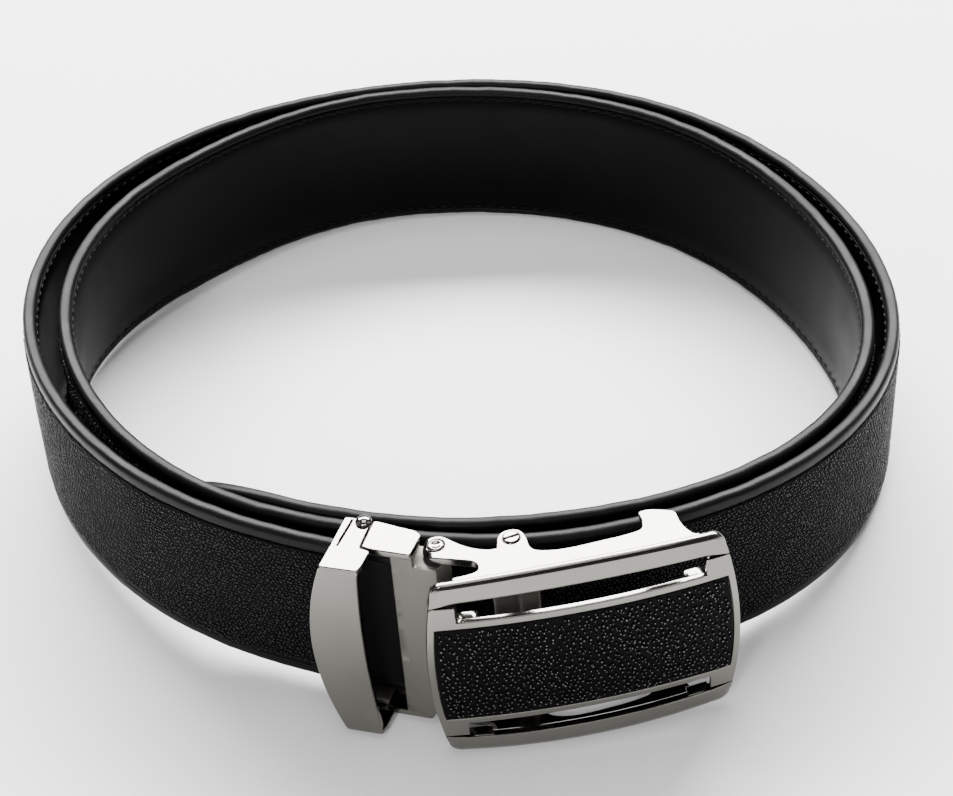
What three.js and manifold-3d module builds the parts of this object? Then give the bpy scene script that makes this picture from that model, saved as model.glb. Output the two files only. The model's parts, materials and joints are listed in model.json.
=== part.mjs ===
// Stingray leather belt with an automatic plate buckle, coiled twice and standing on its edge.
// Millimetres, +Z up. The belt is drawn level first and is then set down on its three lowest points.
import * as THREE from 'three';
import { mergeVertices } from 'three/addons/utils/BufferGeometryUtils.js';
import Module from 'manifold-3d';

const wasm = await Module();
wasm.setup();

// Driving dimensions

const GAP = 0.3; // between pieces that touch on the real belt

// Strap: height, padded thickness, and the two shallow recesses that hold skin and lining.
const STRAP_H = 35;
const STRAP_T = 2.7;
const EDGE_R = 0.7; // rounding of the painted edges
const SKIN = { height: 27, thickness: 0.7, raised: 0.2 };
const LINING = { height: 31.6, thickness: 0.5, raised: 0.1 };
const TRACK = { height: 9, thickness: 1.0 };

// The coil seen from above, as a radius about the coil's centre. The turn angle runs clockwise
// from the clamp (0) over left, back and right, twice round, to the tip.
const COIL = { x: -4, y: 18, start_deg: 107.73, radius: 87.12 };
const BENDS = [
  // waves per turn, size in mm, turn angle of the first crest in degrees times the waves
  { waves: 1, size: 0.69, phase: 236.8 },
  { waves: 2, size: 3.74, phase: 176.0 },
  { waves: 3, size: 0.57, phase: 142.8 },
  { waves: 4, size: 0.92, phase: 43.8 },
  { waves: 5, size: 0.16, phase: 335.8 },
];
// How far the strap lies inside that outline, by turn angle.
const INSET = [
  { turn: -13, inset: -4.05 },
  { turn: -8, inset: -2.5 },
  { turn: -4, inset: -1.6 },
  { turn: 0, inset: -1.05 },
  { turn: 8, inset: -0.3 },
  { turn: 20, inset: 0 },
  { turn: 328, inset: 0 },
  { turn: 345, inset: 1.9 },
  { turn: 360, inset: 4.2 },
  { turn: 375, inset: 4.6 },
  { turn: 390, inset: 5.3 },
  { turn: 430, inset: 7.5 },
  { turn: 470, inset: 8.2 },
  { turn: 512, inset: 3.4 },
  { turn: 550, inset: 4.5 },
  { turn: 600, inset: 5.9 },
  { turn: 650, inset: 4.3 },
  { turn: 700, inset: 5.8 },
  { turn: 720, inset: 7.4 },
  { turn: 735, inset: 7.85 },
  { turn: 753, inset: 8.8 },
];
const TURN = {
  first: -11.2,
  skin_first: -3.5,
  track_first: 660,
  track_last: 730,
  skin_last: 731,
  last: 751,
};
const STEP_DEG = 6; // turn angle of one step of the sweep
const TIP_LENGTH = 30; // the tip's half ellipse
const TIP_SHORT = 0.3; // how far the ellipse stays behind the swept end

// Buckle plate: domed face, in its own frame (u along, v inward, w up).
const PLATE = { at: [18.5, -79, 17.5], yaw: 8.8, roll: 3.17 };
const DOME = { along: 168, across: 134 }; // radii of the face
const FACE = { half_u: 29.2, half_w: 22.1, end_sag: 1 / 170, top_sag: 1 / 600, corner: 2.6 };
const SLOT = { half_u: 23.1, inner_w: 12.9, outer_w: 17.2, rise: 0.6 };
const SEAM_W = 16.3; // where the rails meet the centre panel at its ends
const RAIL_DEPTH = 2.2;
const PANEL_BACK = 1.9;
const INLAY = { half_w: 11.4, rim: 1.3, floor: 0.8, front: 0.05, back: 0.5 };
const POST = { inner_u: 24.2, outer_u: 26.8, front: 2.2, depth: 1.2 };
const FLANGE_T = 1.5;
// Corners of each flange's rear edge from right to left. Each corner is rounded by a curve that
// starts reach away from it, or less where an edge is short.
const FLANGE_REAR = [
  { u: 28, v: 4.9, reach: 0 },
  { u: 21.5, v: 4.9, reach: 1.4 }, // foot of the guide tab
  { u: 20, v: 8, reach: 3 },
  { u: 19.9, v: 11.7, reach: 1 },
  { u: 15.5, v: 13.2, reach: 3 },
  { u: 13.1, v: 12.8, reach: 0.7 },
  { u: 13.4, v: 10.6, reach: 0.2 },
  { u: 12.9, v: 8, reach: 1.2 }, // right end of the hollow
  { u: 9, v: 7.2, reach: 1.7 },
  { u: -2.4, v: 6.3, reach: 4.9 },
  { u: -7.6, v: 7.8, reach: 1.8 }, // catch ear
  { u: -7.9, v: 14.2, reach: 3 },
  { u: -12.5, v: 14.5, reach: 3 },
  { u: -13.5, v: 10.2, reach: 0 },
  { u: -15.3, v: 10.4, reach: 3 }, // rise to the hinge ear
  { u: -18.8, v: 12.4, reach: 3 },
  { u: -22.7, v: 17.2, reach: 1.4 },
  { u: -26.3, v: 16.9, reach: 1.8 },
  { u: -26.7, v: 12.3, reach: 3 },
  { u: -17.6, v: 7.9, reach: 1.5 }, // notch under the hinge ear
  { u: -17.5, v: 5.2, reach: 2.3 },
  { u: -28, v: 5.2, reach: 0 },
];

// Hinge and catch, each on a pin through both flanges. top is the height of the pin's shoulders.
const PIN_HEAD = { height: 0.35, rim: 0.72, rim_rise: 0.75, slot_width: 0.5, slot_depth: 0.3 };
const HINGE = { u: -23.9, v: 14.6, pin_r: 1.5, hole_r: 1.8, top: 21.1, slot_turn: null };
const PAWL = { u: -10.4, v: 12.0, pin_r: 1.5, hole_r: 1.8, top: 21.9, slot_turn: 0.15 };
const CATCH = { barrel_r: 2.2, top: FACE.half_w - FLANGE_T - 1.2, blade_short: 6 };

// Clamp and keeper, in a frame (a along the strap, b inward, w up) on the hinge axis.
const CLAMP_YAW = -26.8;
const CLAMP = { top: 22.2, bottom: -20.3, plate_t: 1.4, wall_inset: 0.5, front_b: -4.4, jaw_t: 1.0 };
const KNUCKLE = { radius: 2.3, top: 19.3, bottom: -18.7 };
const TONGUE = { top: 20.9, top_t: 0.85, bottom: -18.6, bottom_t: 1.2 };
const KEEPER = { top: 22.3, bottom: -20.0, arm_t: 1.1, front_b: -10.6, plate_t: 1.4, seam_depth: 0.4 };
// The keeper's side edges seen from the front: where they start and how far their middle bows out.
const KEEPER_EDGE = { left_a: -18.9, left_bow: 4.1, right_a: -11.5, right_bow: 1.0 };
const KEEPER_PIN = { a: -14.5, b: 2.3, head_r: 1.6, head_h: 1.0, shank_r: 0.7, hole_r: 1.0 };

// Materials

const leather = (color, roughness) => new THREE.MeshStandardMaterial({ color, roughness, metalness: 0 });
const metal = (color, roughness) => new THREE.MeshStandardMaterial({ color, roughness, metalness: 1 });
const MAT = {
  edge: leather(0x17171a, 0.35),
  skin: leather(0x0d0d0f, 0.4),
  lining: leather(0x121214, 0.45),
  track: leather(0x0b0b0c, 0.5),
  nickel: metal(0xb9b7b2, 0.22),
  satin: metal(0xa39f98, 0.3),
  pin: metal(0xd0cfcb, 0.15),
};

// Solids

// A closed three.js geometry as a manifold solid.
function solid(geometry) {
  geometry.deleteAttribute('normal');
  geometry.deleteAttribute('uv');
  const merged = mergeVertices(geometry, 1e-5);
  return new wasm.Manifold(new wasm.Mesh({
    numProp: 3,
    vertProperties: new Float32Array(merged.attributes.position.array),
    triVerts: new Uint32Array(merged.index.array),
  }));
}

// A manifold solid as a named mesh.
function meshOf(name, body, material) {
  const data = body.getMesh();
  const geometry = new THREE.BufferGeometry();
  geometry.setAttribute('position', new THREE.BufferAttribute(new Float32Array(data.vertProperties), 3));
  geometry.setIndex(new THREE.BufferAttribute(new Uint32Array(data.triVerts), 1));
  geometry.computeVertexNormals();
  const mesh = new THREE.Mesh(geometry, material);
  mesh.name = name;
  return mesh;
}

// Depth that every cutter has beyond what it cuts.
const FAR = 30;

// n + 1 even steps from a to b.
const spread = (n, a, b) => Array.from({ length: n + 1 }, (_, i) => a + ((b - a) * i) / n);

const shapeOf = (points) => new THREE.Shape(points.map(([x, y]) => new THREE.Vector2(x, y)));

const rectangle = (x0, x1, y0, y1) => shapeOf([[x0, y0], [x1, y0], [x1, y1], [x0, y1]]);

function circle(x, y, r) {
  const shape = new THREE.Shape();
  shape.absarc(x, y, r, 0, 2 * Math.PI);
  return shape;
}

// An outline of straight edges whose corners are rounded as their rows say.
function roundedShape(rows) {
  const at = rows.map((row) => new THREE.Vector2(row.u, row.v));
  const shape = new THREE.Shape();
  rows.forEach((row, i) => {
    const toward = (other) => {
      const edge = at[other].clone().sub(at[i]);
      return at[i].clone().addScaledVector(edge, Math.min(row.reach / edge.length(), 0.48));
    };
    const start = toward((i + rows.length - 1) % rows.length);
    if (i === 0) shape.moveTo(start.x, start.y);
    else shape.lineTo(start.x, start.y);
    if (row.reach > 0) {
      const end = toward((i + 1) % rows.length);
      shape.quadraticCurveTo(row.u, row.v, end.x, end.y);
    }
  });
  return shape;
}

// A plan outline raised from w0 to w1.
function upright(shape, w0, w1, curveSegments = 10) {
  const depth = w1 - w0;
  const geometry = new THREE.ExtrudeGeometry(shape, { depth, bevelEnabled: false, curveSegments });
  return solid(geometry.translate(0, 0, w0));
}

// A front outline run inward from v0 to v1.
function inward(shape, v0, v1, curveSegments = 10) {
  const depth = v1 - v0;
  const geometry = new THREE.ExtrudeGeometry(shape, { depth, bevelEnabled: false, curveSegments });
  return solid(geometry.rotateX(Math.PI / 2).translate(0, v1, 0));
}

const joined = (bodies) => bodies.reduce((sum, body) => sum.add(body));

// Strap

// Smooth value between the rows of the inset table, without overshoot.
function insetAt(turn) {
  const rows = INSET;
  const slope = (i) => (rows[i + 1].inset - rows[i].inset) / (rows[i + 1].turn - rows[i].turn);
  const tangent = (i) => {
    if (i === 0) return slope(0);
    if (i === rows.length - 1) return slope(i - 1);
    const before = slope(i - 1);
    const after = slope(i);
    return before * after <= 0 ? 0 : (2 * before * after) / (before + after);
  };
  const i = Math.max(0, Math.min(rows.length - 2, rows.findIndex((row) => row.turn > turn) - 1));
  const width = rows[i + 1].turn - rows[i].turn;
  const x = Math.min(1, Math.max(0, (turn - rows[i].turn) / width));
  const h00 = 2 * x ** 3 - 3 * x ** 2 + 1;
  const h10 = x ** 3 - 2 * x ** 2 + x;
  const h01 = -2 * x ** 3 + 3 * x ** 2;
  const h11 = x ** 3 - x ** 2;
  const values = h00 * rows[i].inset + h01 * rows[i + 1].inset;
  return values + width * (h10 * tangent(i) + h11 * tangent(i + 1));
}

function coilPoint(turn) {
  const rad = Math.PI / 180;
  const waves = BENDS.map((row) => row.size * Math.cos((row.waves * turn - row.phase) * rad));
  const radius = COIL.radius + waves.reduce((sum, value) => sum + value, 0) - insetAt(turn);
  const angle = -(turn + COIL.start_deg) * rad;
  return new THREE.Vector3(COIL.x + radius * Math.cos(angle), COIL.y + radius * Math.sin(angle), STRAP_H / 2);
}

// The strap's middle line between two turn angles.
class CoilLine extends THREE.Curve {
  constructor(first, last) {
    super();
    this.first = first;
    this.last = last;
    this.arcLengthDivisions = 1200;
  }

  getPoint(t) {
    return coilPoint(this.first + t * (this.last - this.first));
  }
}

// A section (height above the middle, distance outward) swept along the coil.
function swept(section, first, last) {
  const geometry = new THREE.ExtrudeGeometry(shapeOf(section.map(([h, out]) => [-h, out])), {
    steps: Math.round((last - first) / STEP_DEG),
    extrudePath: new CoilLine(first, last),
  });
  return solid(geometry);
}

const halfH = STRAP_H / 2;
const halfT = STRAP_T / 2;

// Section of the core: rounded edges, a recess for the skin outside and for the lining inside.
function coreSection() {
  const skinH = SKIN.height / 2 + GAP;
  const skinFloor = halfT - (SKIN.thickness - SKIN.raised) - GAP;
  const liningH = LINING.height / 2 + GAP;
  const liningFloor = -halfT + (LINING.thickness - LINING.raised) + GAP;
  const upper = [
    [liningH, liningFloor],
    [liningH, -halfT],
    [halfH - EDGE_R, -halfT],
    [halfH, -halfT + EDGE_R],
    [halfH, halfT - EDGE_R],
    [halfH - EDGE_R, halfT],
    [skinH, halfT],
    [skinH, skinFloor],
  ];
  const lower = upper.map(([h, out]) => [-h, out]).reverse();
  return [...upper, ...lower].reverse();
}

const band = (height, from, to) => [
  [-height / 2, from],
  [height / 2, from],
  [height / 2, to],
  [-height / 2, to],
];

// What is cut off to round the tip, set at the tip and turned along the strap.
function tipCutter() {
  const tip = coilPoint(TURN.last);
  const along = new CoilLine(TURN.first, TURN.last).getTangent(1);
  const reach = TIP_LENGTH - TIP_SHORT;
  const curve = new THREE.EllipseCurve(-TIP_LENGTH, 0, reach, halfH, -Math.PI / 2, Math.PI / 2);
  const rounded = curve.getPoints(14).map((p) => [p.x, p.y]);
  const block = { past: 4, high: halfH + 3, outward: 1.65, inward: 8 };
  const geometry = new THREE.ExtrudeGeometry(shapeOf([
    [block.past, block.high],
    [-TIP_LENGTH, block.high],
    ...rounded.reverse(),
    [-TIP_LENGTH, -block.high],
    [block.past, -block.high],
  ]), { depth: block.outward + block.inward, bevelEnabled: false });
  geometry.translate(0, 0, -block.outward).rotateX(Math.PI / 2).rotateZ(Math.atan2(along.y, along.x));
  return solid(geometry.translate(tip.x, tip.y, tip.z));
}

function strapPieces() {
  const cutter = tipCutter();
  const skinOut = halfT + SKIN.raised;
  const liningIn = -halfT - LINING.raised;
  const trackOut = liningIn - GAP;
  const skinBand = band(SKIN.height, skinOut - SKIN.thickness, skinOut);
  const liningBand = band(LINING.height, liningIn, liningIn + LINING.thickness);
  const trackBand = band(TRACK.height, trackOut - TRACK.thickness, trackOut);
  const core = swept(coreSection(), TURN.first, TURN.last).subtract(cutter);
  const skin = swept(skinBand, TURN.skin_first, TURN.skin_last);
  const lining = swept(liningBand, TURN.first, TURN.last);
  const track = swept(trackBand, TURN.track_first, TURN.track_last);
  return [
    meshOf('strap_body', core, MAT.edge),
    meshOf('stingray_skin', skin.subtract(cutter), MAT.skin),
    meshOf('strap_lining', lining.subtract(cutter), MAT.lining),
    meshOf('ratchet_track', track, MAT.track),
  ];
}

// Buckle plate

const domeDepth = (u, w) => u * u / (2 * DOME.along) + w * w / (2 * DOME.across);
const bendDepth = (u) => u * u / (2 * DOME.along);

// A slab between two depth surfaces, each a function of u and w.
function slab(front, back, segments = [18, 10]) {
  const size = { u: 64, w: 50 };
  const geometry = new THREE.BoxGeometry(size.u, 1, size.w, segments[0], 1, segments[1]);
  const position = geometry.attributes.position;
  for (let i = 0; i < position.count; i += 1) {
    const u = position.getX(i);
    const w = position.getZ(i);
    position.setY(i, position.getY(i) < 0 ? front(u, w) : back(u, w));
  }
  return solid(geometry);
}

// Outline of the face: bowed long edges, bowed ends, rounded corners. The second half is the
// first one turned round.
function faceOutline() {
  const { half_u, half_w, end_sag, top_sag, corner } = FACE;
  const topW = (u) => half_w - top_sag * u * u;
  const endU = (w) => half_u - end_sag * w * w;
  const centreU = endU(topW(half_u - corner)) - corner;
  const centreW = topW(centreU) - corner;
  const top = spread(6, -centreU, centreU).map((u) => [u, topW(u)]);
  const side = spread(6, centreW, -centreW).map((w) => [endU(w), w]);
  const corners = [Math.PI / 3, Math.PI / 6].map((angle) => [
    centreU + corner * Math.cos(angle),
    centreW + corner * Math.sin(angle),
  ]);
  const lowCorners = corners.map(([u, w]) => [u, -w]).reverse();
  const half = [...top, ...corners, ...side, ...lowCorners];
  return shapeOf([...half, ...half.map(([u, w]) => [-u, -w])].reverse());
}

// The region between the rails: both slots and the band where the panel lies.
function railWindow() {
  const { half_u, outer_w, rise } = SLOT;
  const edge = SEAM_W + GAP / 2;
  const slotArc = spread(8, -1, 1).map((x) => [x * half_u, outer_w + rise * (1 - x * x)]);
  const half = [[-FAR, edge], [-half_u, edge], ...slotArc, [half_u, edge], [FAR, edge]];
  return shapeOf([...half, ...half.map(([u, w]) => [-u, -w])].reverse());
}

// Flat plates along the face's long edges: hinge ear, notch, catch ear, hollow and guide tab.
function flanges() {
  const inner = spread(6, -36, 36).map((u) => [u, FACE.half_w - FLANGE_T - FACE.top_sag * u * u]);
  const core = inward(shapeOf([...inner, ...inner.map(([u, w]) => [-u, -w])].reverse()), -8, FAR);
  const bands = inward(faceOutline(), -6, FAR - 2).subtract(core);
  const behindFace = slab(domeDepth, () => FAR - 1);
  const front = [{ u: -FAR, v: -3, reach: 0 }, { u: FAR, v: -3, reach: 0 }];
  const plan = upright(roundedShape([...front, ...FLANGE_REAR]), -FAR, FAR, 2);
  return bands.intersect(plan).intersect(behindFace);
}

function endPosts() {
  const { inner_u, outer_u, front, depth } = POST;
  const ring = slab((u) => bendDepth(u) + front, (u) => bendDepth(u) + front + depth, [18, 1]);
  const w = FACE.half_w - FLANGE_T - 0.5;
  const right = inward(rectangle(inner_u, outer_u, -w, w), -4, 20);
  const left = inward(rectangle(-outer_u, -inner_u, -w, w), -4, 20);
  return ring.intersect(right.add(left));
}

function buckleFrame() {
  const rails = slab(domeDepth, (u, w) => domeDepth(u, w) + RAIL_DEPTH)
    .intersect(inward(faceOutline(), -6, 20))
    .subtract(inward(railWindow(), -8, 22));
  const hingeHoles = upright(circle(HINGE.u, HINGE.v, HINGE.hole_r), -FAR, FAR);
  const pawlHoles = upright(circle(PAWL.u, PAWL.v, PAWL.hole_r), -FAR, FAR);
  return joined([rails, flanges(), endPosts()]).subtract(hingeHoles).subtract(pawlHoles);
}

function panelOutline() {
  const { half_u, inner_w } = SLOT;
  const edge = SEAM_W - GAP / 2;
  const half = [
    [-FAR, -edge],
    [-half_u, -edge],
    [-half_u, -inner_w],
    [half_u, -inner_w],
    [half_u, -edge],
    [FAR, -edge],
  ];
  return shapeOf([...half, ...half.map(([u, w]) => [-u, -w])]);
}

function inlayOutline(inset) {
  const half = INLAY.half_w - inset;
  const endU = (w) => FACE.half_u - INLAY.rim - inset - FACE.end_sag * w * w;
  const right = spread(6, -half, half).map((w) => [endU(w), w]);
  return shapeOf([...right, ...right.map(([u, w]) => [-u, -w])]);
}

function centrePanel() {
  const pocket = slab(() => -4, (u, w) => domeDepth(u, w) + INLAY.floor)
    .intersect(inward(inlayOutline(0), -6, 20));
  return slab(domeDepth, (u) => bendDepth(u) + PANEL_BACK)
    .intersect(inward(faceOutline(), -6, 20))
    .intersect(inward(panelOutline(), -6, 20))
    .subtract(pocket);
}

function inlay() {
  return slab((u, w) => domeDepth(u, w) + INLAY.front, (u, w) => domeDepth(u, w) + INLAY.back)
    .intersect(inward(inlayOutline(GAP), -6, 20));
}

// The spring catch behind the plate: barrel on its pin and a short toothed blade.
function pawl() {
  const { u, v, hole_r } = PAWL;
  const { barrel_r, top, blade_short } = CATCH;
  const blade = shapeOf([
    [u - 1.5, v - 2.1],
    [u + 2.6, v - 3.4],
    [u + 3.8, v - 3.2],
    [u + 3.8, v - 1.2],
    [u + 1.6, v + 1.2],
    [u, v + 1.6],
  ]);
  return upright(circle(u, v, barrel_r), -top, top)
    .add(upright(blade, blade_short - top, top - blade_short))
    .subtract(upright(circle(u, v, hole_r), -FAR, FAR));
}

// A pin through both flanges with a low head on each end, the upper one slotted or plain.
function throughPin({ u, v, pin_r, top, slot_turn }) {
  const { height, rim, rim_rise, slot_width, slot_depth } = PIN_HEAD;
  const upper = [[pin_r, top], [pin_r * rim, top + height * rim_rise], [0, top + height]];
  const profile = [...upper.map(([r, w]) => [r, -w]).reverse(), ...upper];
  const turned = new THREE.LatheGeometry(profile.map(([r, w]) => new THREE.Vector2(r, w)), 20);
  const body = solid(turned.rotateX(Math.PI / 2).translate(u, v, 0));
  if (slot_turn === null) return body;
  const groove = new THREE.BoxGeometry(slot_width, 2 * pin_r + 1, 2 * slot_depth).rotateZ(slot_turn);
  return body.subtract(solid(groove.translate(u, v, top + height)));
}

// Clamp and keeper

function clampBody() {
  const { top, bottom, plate_t, wall_inset, front_b, jaw_t } = CLAMP;
  const low = bottom + wall_inset;
  const high = top - wall_inset;
  const capPlan = shapeOf([
    [-12.85, -4.1],
    [-10.7, -4.5],
    [-3.4, -4.7],
    [-3.1, 1.2],
    [-4.6, 2.2],
    [-7.5, 2.5],
    [-10.3, 3.0],
    [-12.85, 3.3],
  ]);
  const caps = upright(capPlan, top - plate_t, top).add(upright(capPlan, bottom, bottom + plate_t));
  const rearWall = upright(rectangle(-12.85, -4.2, 0.7, 1.7), low, high);
  const jawShape = shapeOf([[-8.5, bottom], [-3.4, bottom], [-3.4, high], [-7.4, high]]);
  const jaw = inward(jawShape, front_b, front_b + jaw_t);
  const endWall = upright(rectangle(-5.2, -3.9, front_b, 1.7), low, high);
  const lugPlan = shapeOf([
    [-4.6, front_b],
    [0.8, front_b],
    [1.3, -3.9],
    [1.2, -3.3],
    [0.4, -2.1],
    [-1.2, 2.0],
    [-4.6, 1.7],
  ]);
  const lug = upright(lugPlan, KNUCKLE.bottom, KNUCKLE.top)
    .add(upright(circle(0, 0, KNUCKLE.radius), KNUCKLE.bottom, KNUCKLE.top, 8));
  const tonguePlan = rectangle(-18.0, -12.3, -4.0, 3.4);
  const tongues = upright(tonguePlan, TONGUE.top - TONGUE.top_t, TONGUE.top)
    .add(upright(tonguePlan, TONGUE.bottom, TONGUE.bottom + TONGUE.bottom_t));
  const pinHole = upright(circle(KEEPER_PIN.a, KEEPER_PIN.b, KEEPER_PIN.hole_r), -FAR, FAR, 6);
  const hingeHole = upright(circle(0, 0, HINGE.hole_r), -FAR, FAR);
  return joined([caps, rearWall, jaw, endWall, lug, tongues]).subtract(pinHole).subtract(hingeHole);
}

// The loop that the belt's free end runs through: a front plate and two arms.
function keeper() {
  const { top, bottom, arm_t, front_b, plate_t, seam_depth } = KEEPER;
  const { left_a, left_bow, right_a, right_bow } = KEEPER_EDGE;
  const middle = (top + bottom) / 2;
  const half = (top - bottom) / 2;
  const steps = spread(8, -1, 1);
  const left = steps.map((x) => [left_a - left_bow * (1 - x * x), middle + x * half]);
  const right = steps.map((x) => [right_a - right_bow * (1 - x * x), middle - x * half]);
  const front = inward(shapeOf([...left, ...right].reverse()), front_b, front_b + plate_t);
  const armPlan = shapeOf([
    [left_a, front_b + 0.2],
    [right_a, front_b + 0.2],
    [-11.1, -9.0],
    [-10.9, -4.85],
    [-13.15, -4.45],
    [-13.15, 3.2],
    [-18.4, 3.2],
    [-18.6, -4.7],
  ]);
  const arms = upright(armPlan, top - arm_t, top).add(upright(armPlan, bottom, bottom + arm_t));
  const seamPlan = shapeOf([[-17.4, -4.0], [-17.1, -4.0], [-16.6, 4], [-16.9, 4]]);
  const seam = upright(seamPlan, top - seam_depth, top + 1);
  const holes = upright(circle(KEEPER_PIN.a, KEEPER_PIN.b, KEEPER_PIN.hole_r), -FAR, FAR, 6);
  return front.add(arms).subtract(seam).subtract(holes);
}

// A domed rivet through keeper arm and clamp tongue; side is +1 at the top and -1 below.
function keeperPin(side) {
  const { a, b, head_r, head_h, shank_r } = KEEPER_PIN;
  const seat = side > 0 ? KEEPER.top : -KEEPER.bottom;
  const foot = side > 0 ? TONGUE.top - TONGUE.top_t : -TONGUE.bottom - TONGUE.bottom_t;
  const base = seat + GAP / 2;
  const rise = spread(3, 0, (3 * Math.PI) / 8)
    .map((angle) => [head_r * Math.cos(angle), base + head_h * Math.sin(angle)]);
  const profile = [[0, foot], [shank_r, foot], [shank_r, base], ...rise, [0, base + head_h]];
  const geometry = new THREE.LatheGeometry(profile.map(([r, w]) => new THREE.Vector2(r, w)), 14);
  geometry.rotateX(side > 0 ? Math.PI / 2 : -Math.PI / 2);
  return solid(geometry.translate(a, b, 0));
}

// Assembly

const rad = THREE.MathUtils.degToRad;
const belt = new THREE.Group();
const level = new THREE.Group();
belt.add(level);
level.add(...strapPieces());

const plate = new THREE.Group();
plate.position.set(...PLATE.at);
plate.rotation.set(0, -rad(PLATE.roll), rad(PLATE.yaw), 'ZYX');
plate.add(
  meshOf('buckle_frame', buckleFrame(), MAT.nickel),
  meshOf('centre_panel', centrePanel(), MAT.satin),
  meshOf('stingray_inlay', inlay(), MAT.skin),
  meshOf('pawl', pawl(), MAT.satin),
  meshOf('hinge_pin', throughPin(HINGE), MAT.pin),
  meshOf('pawl_pin', throughPin(PAWL), MAT.pin),
);
level.add(plate);

const clamp = new THREE.Group();
clamp.position.set(HINGE.u, HINGE.v, 0);
clamp.rotation.z = rad(CLAMP_YAW);
clamp.add(
  meshOf('clamp_body', clampBody(), MAT.satin),
  meshOf('keeper', keeper(), MAT.nickel),
  meshOf('keeper_pin_top', keeperPin(1), MAT.pin),
  meshOf('keeper_pin_bottom', keeperPin(-1), MAT.pin),
);
plate.add(clamp);

// Set down: the buckle hangs below the strap, so the coil stands a little tilted.
const REST = { front_up_deg: 1.69, right_up_deg: -1.03 };
level.rotation.set(-rad(REST.front_up_deg), -rad(REST.right_up_deg), 0);
belt.updateMatrixWorld(true);
const box = new THREE.Box3().setFromObject(belt, true);
belt.position.set(-(box.min.x + box.max.x) / 2, -(box.min.y + box.max.y) / 2, -box.min.z);
belt.updateMatrixWorld(true);

export default belt;
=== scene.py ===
"""Stingray leather belt with a plate buckle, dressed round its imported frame.

Shapes are in millimetres, in the belt's level frame or in the buckle's or the clamp's.
"""
import json
import math
from functools import cache
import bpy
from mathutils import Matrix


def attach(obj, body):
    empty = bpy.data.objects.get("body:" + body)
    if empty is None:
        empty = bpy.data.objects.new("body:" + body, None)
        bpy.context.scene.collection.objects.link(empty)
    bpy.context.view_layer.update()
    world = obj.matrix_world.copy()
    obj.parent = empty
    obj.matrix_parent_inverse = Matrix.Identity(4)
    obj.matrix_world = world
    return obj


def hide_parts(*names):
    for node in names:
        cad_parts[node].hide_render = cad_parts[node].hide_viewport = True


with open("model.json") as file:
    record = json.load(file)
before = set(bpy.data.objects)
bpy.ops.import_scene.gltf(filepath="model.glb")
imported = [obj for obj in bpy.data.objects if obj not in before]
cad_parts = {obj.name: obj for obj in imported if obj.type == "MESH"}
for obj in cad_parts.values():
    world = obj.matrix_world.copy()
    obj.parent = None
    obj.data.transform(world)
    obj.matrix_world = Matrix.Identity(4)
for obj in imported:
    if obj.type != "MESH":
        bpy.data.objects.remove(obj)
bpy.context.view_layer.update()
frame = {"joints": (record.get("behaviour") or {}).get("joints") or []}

from types import SimpleNamespace as Sizes

import bpy
import numpy as np
from mathutils import Matrix, Vector
from mathutils.geometry import delaunay_2d_cdt

bl_info = {
    "name": "Stingray leather belt",
    "version": (1, 0, 0),
    "blender": (4, 5, 0),
    "location": "View3D > Sidebar > Belt",
    "description": "Builds a coiled stingray leather belt with its plate buckle",
    "category": "Object",
}

# Sizes in mm and degrees. The coil, as in the part's own dimensions: a radius by turn angle.
MM = 0.001
STRAP_H = 35.0
STRAP_T = 2.7
COIL = Sizes(x=-4.0, y=18.0, start_deg=107.73, radius=87.12, step_deg=0.05)
BENDS = (
    # waves per turn, size, phase
    (1, 0.69, 236.8), (2, 3.74, 176.0), (3, 0.57, 142.8), (4, 0.92, 43.8), (5, 0.16, 335.8),
)
INSET = (
    # turn angle, distance inside the outline
    (-13, -4.05), (-8, -2.5), (-4, -1.6), (0, -1.05), (8, -0.3), (20, 0.0), (328, 0.0),
    (345, 1.9), (360, 4.2), (375, 4.6), (390, 5.3), (430, 7.5), (470, 8.2), (512, 3.4),
    (550, 4.5), (600, 5.9), (650, 4.3), (700, 5.8), (720, 7.4), (735, 7.85), (753, 8.8),
)
TURN = Sizes(first=-11.2, skin_first=-3.5, track_first=660.0, track_last=730.0, last=751.0)
FLARES = (
    # turn angle of the middle, half its spread, distance outward at the foot
    (80, 28, -0.9),
    (438, 45, 3.4),
)
TIP = Sizes(length=29.7, short=0.3, rows=33)
STRAP_STEP = 1.5

# The strap's layers: half heights, depths of the recesses, and their rounded borders.
EDGE_R = 1.05
RECESS = Sizes(skin=0.35, skin_corner=0.3, skin_play=0.15, skin_tip=3.85, lining=0.3, lining_play=0.12,
               lining_tip=1.6, lip=0.1, swell=0.04)
SKIN = Sizes(half=14.8, proud=0.12, foot=0.25, lip=0.25, short=4.1, tip=4.0, bare_end=0.6)
LINING = Sizes(half=15.8, proud=0.08, foot=0.3, lip=0.14, short=1.7, tip=1.7)
LINING_GROOVE = (
    # distance beside the stitches, depth
    (0.42, 0.0), (0.2, 0.1), (-0.2, 0.1), (-0.42, 0.0),
)
STITCH = Sizes(pitch=2.9, length=2.1, thickness=0.5, from_border=0.75, start=12.0, seat=0.06, sides=6,
               shake=0.03, slant=(0.12, 0.04), seed=11)
STITCH_RINGS = (
    # place along the stitch, girth as a share, depth in the leather
    (-0.5, 0.25, 0.22), (-0.25, 0.9, 0.02), (0.0, 1.0, -0.03), (0.25, 0.9, 0.02), (0.5, 0.25, 0.22),
)
TRACK = Sizes(half=4.5, foot=0.25, body=0.45, tooth=1.8, rise=0.45, step=0.45)
WANDER = {
    # seed, size and wavelength of the leather's uneven borders
    "skin": (3, 0.12, 9.0),
    "edge": (5, 0.13, 7.0),
}

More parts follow.
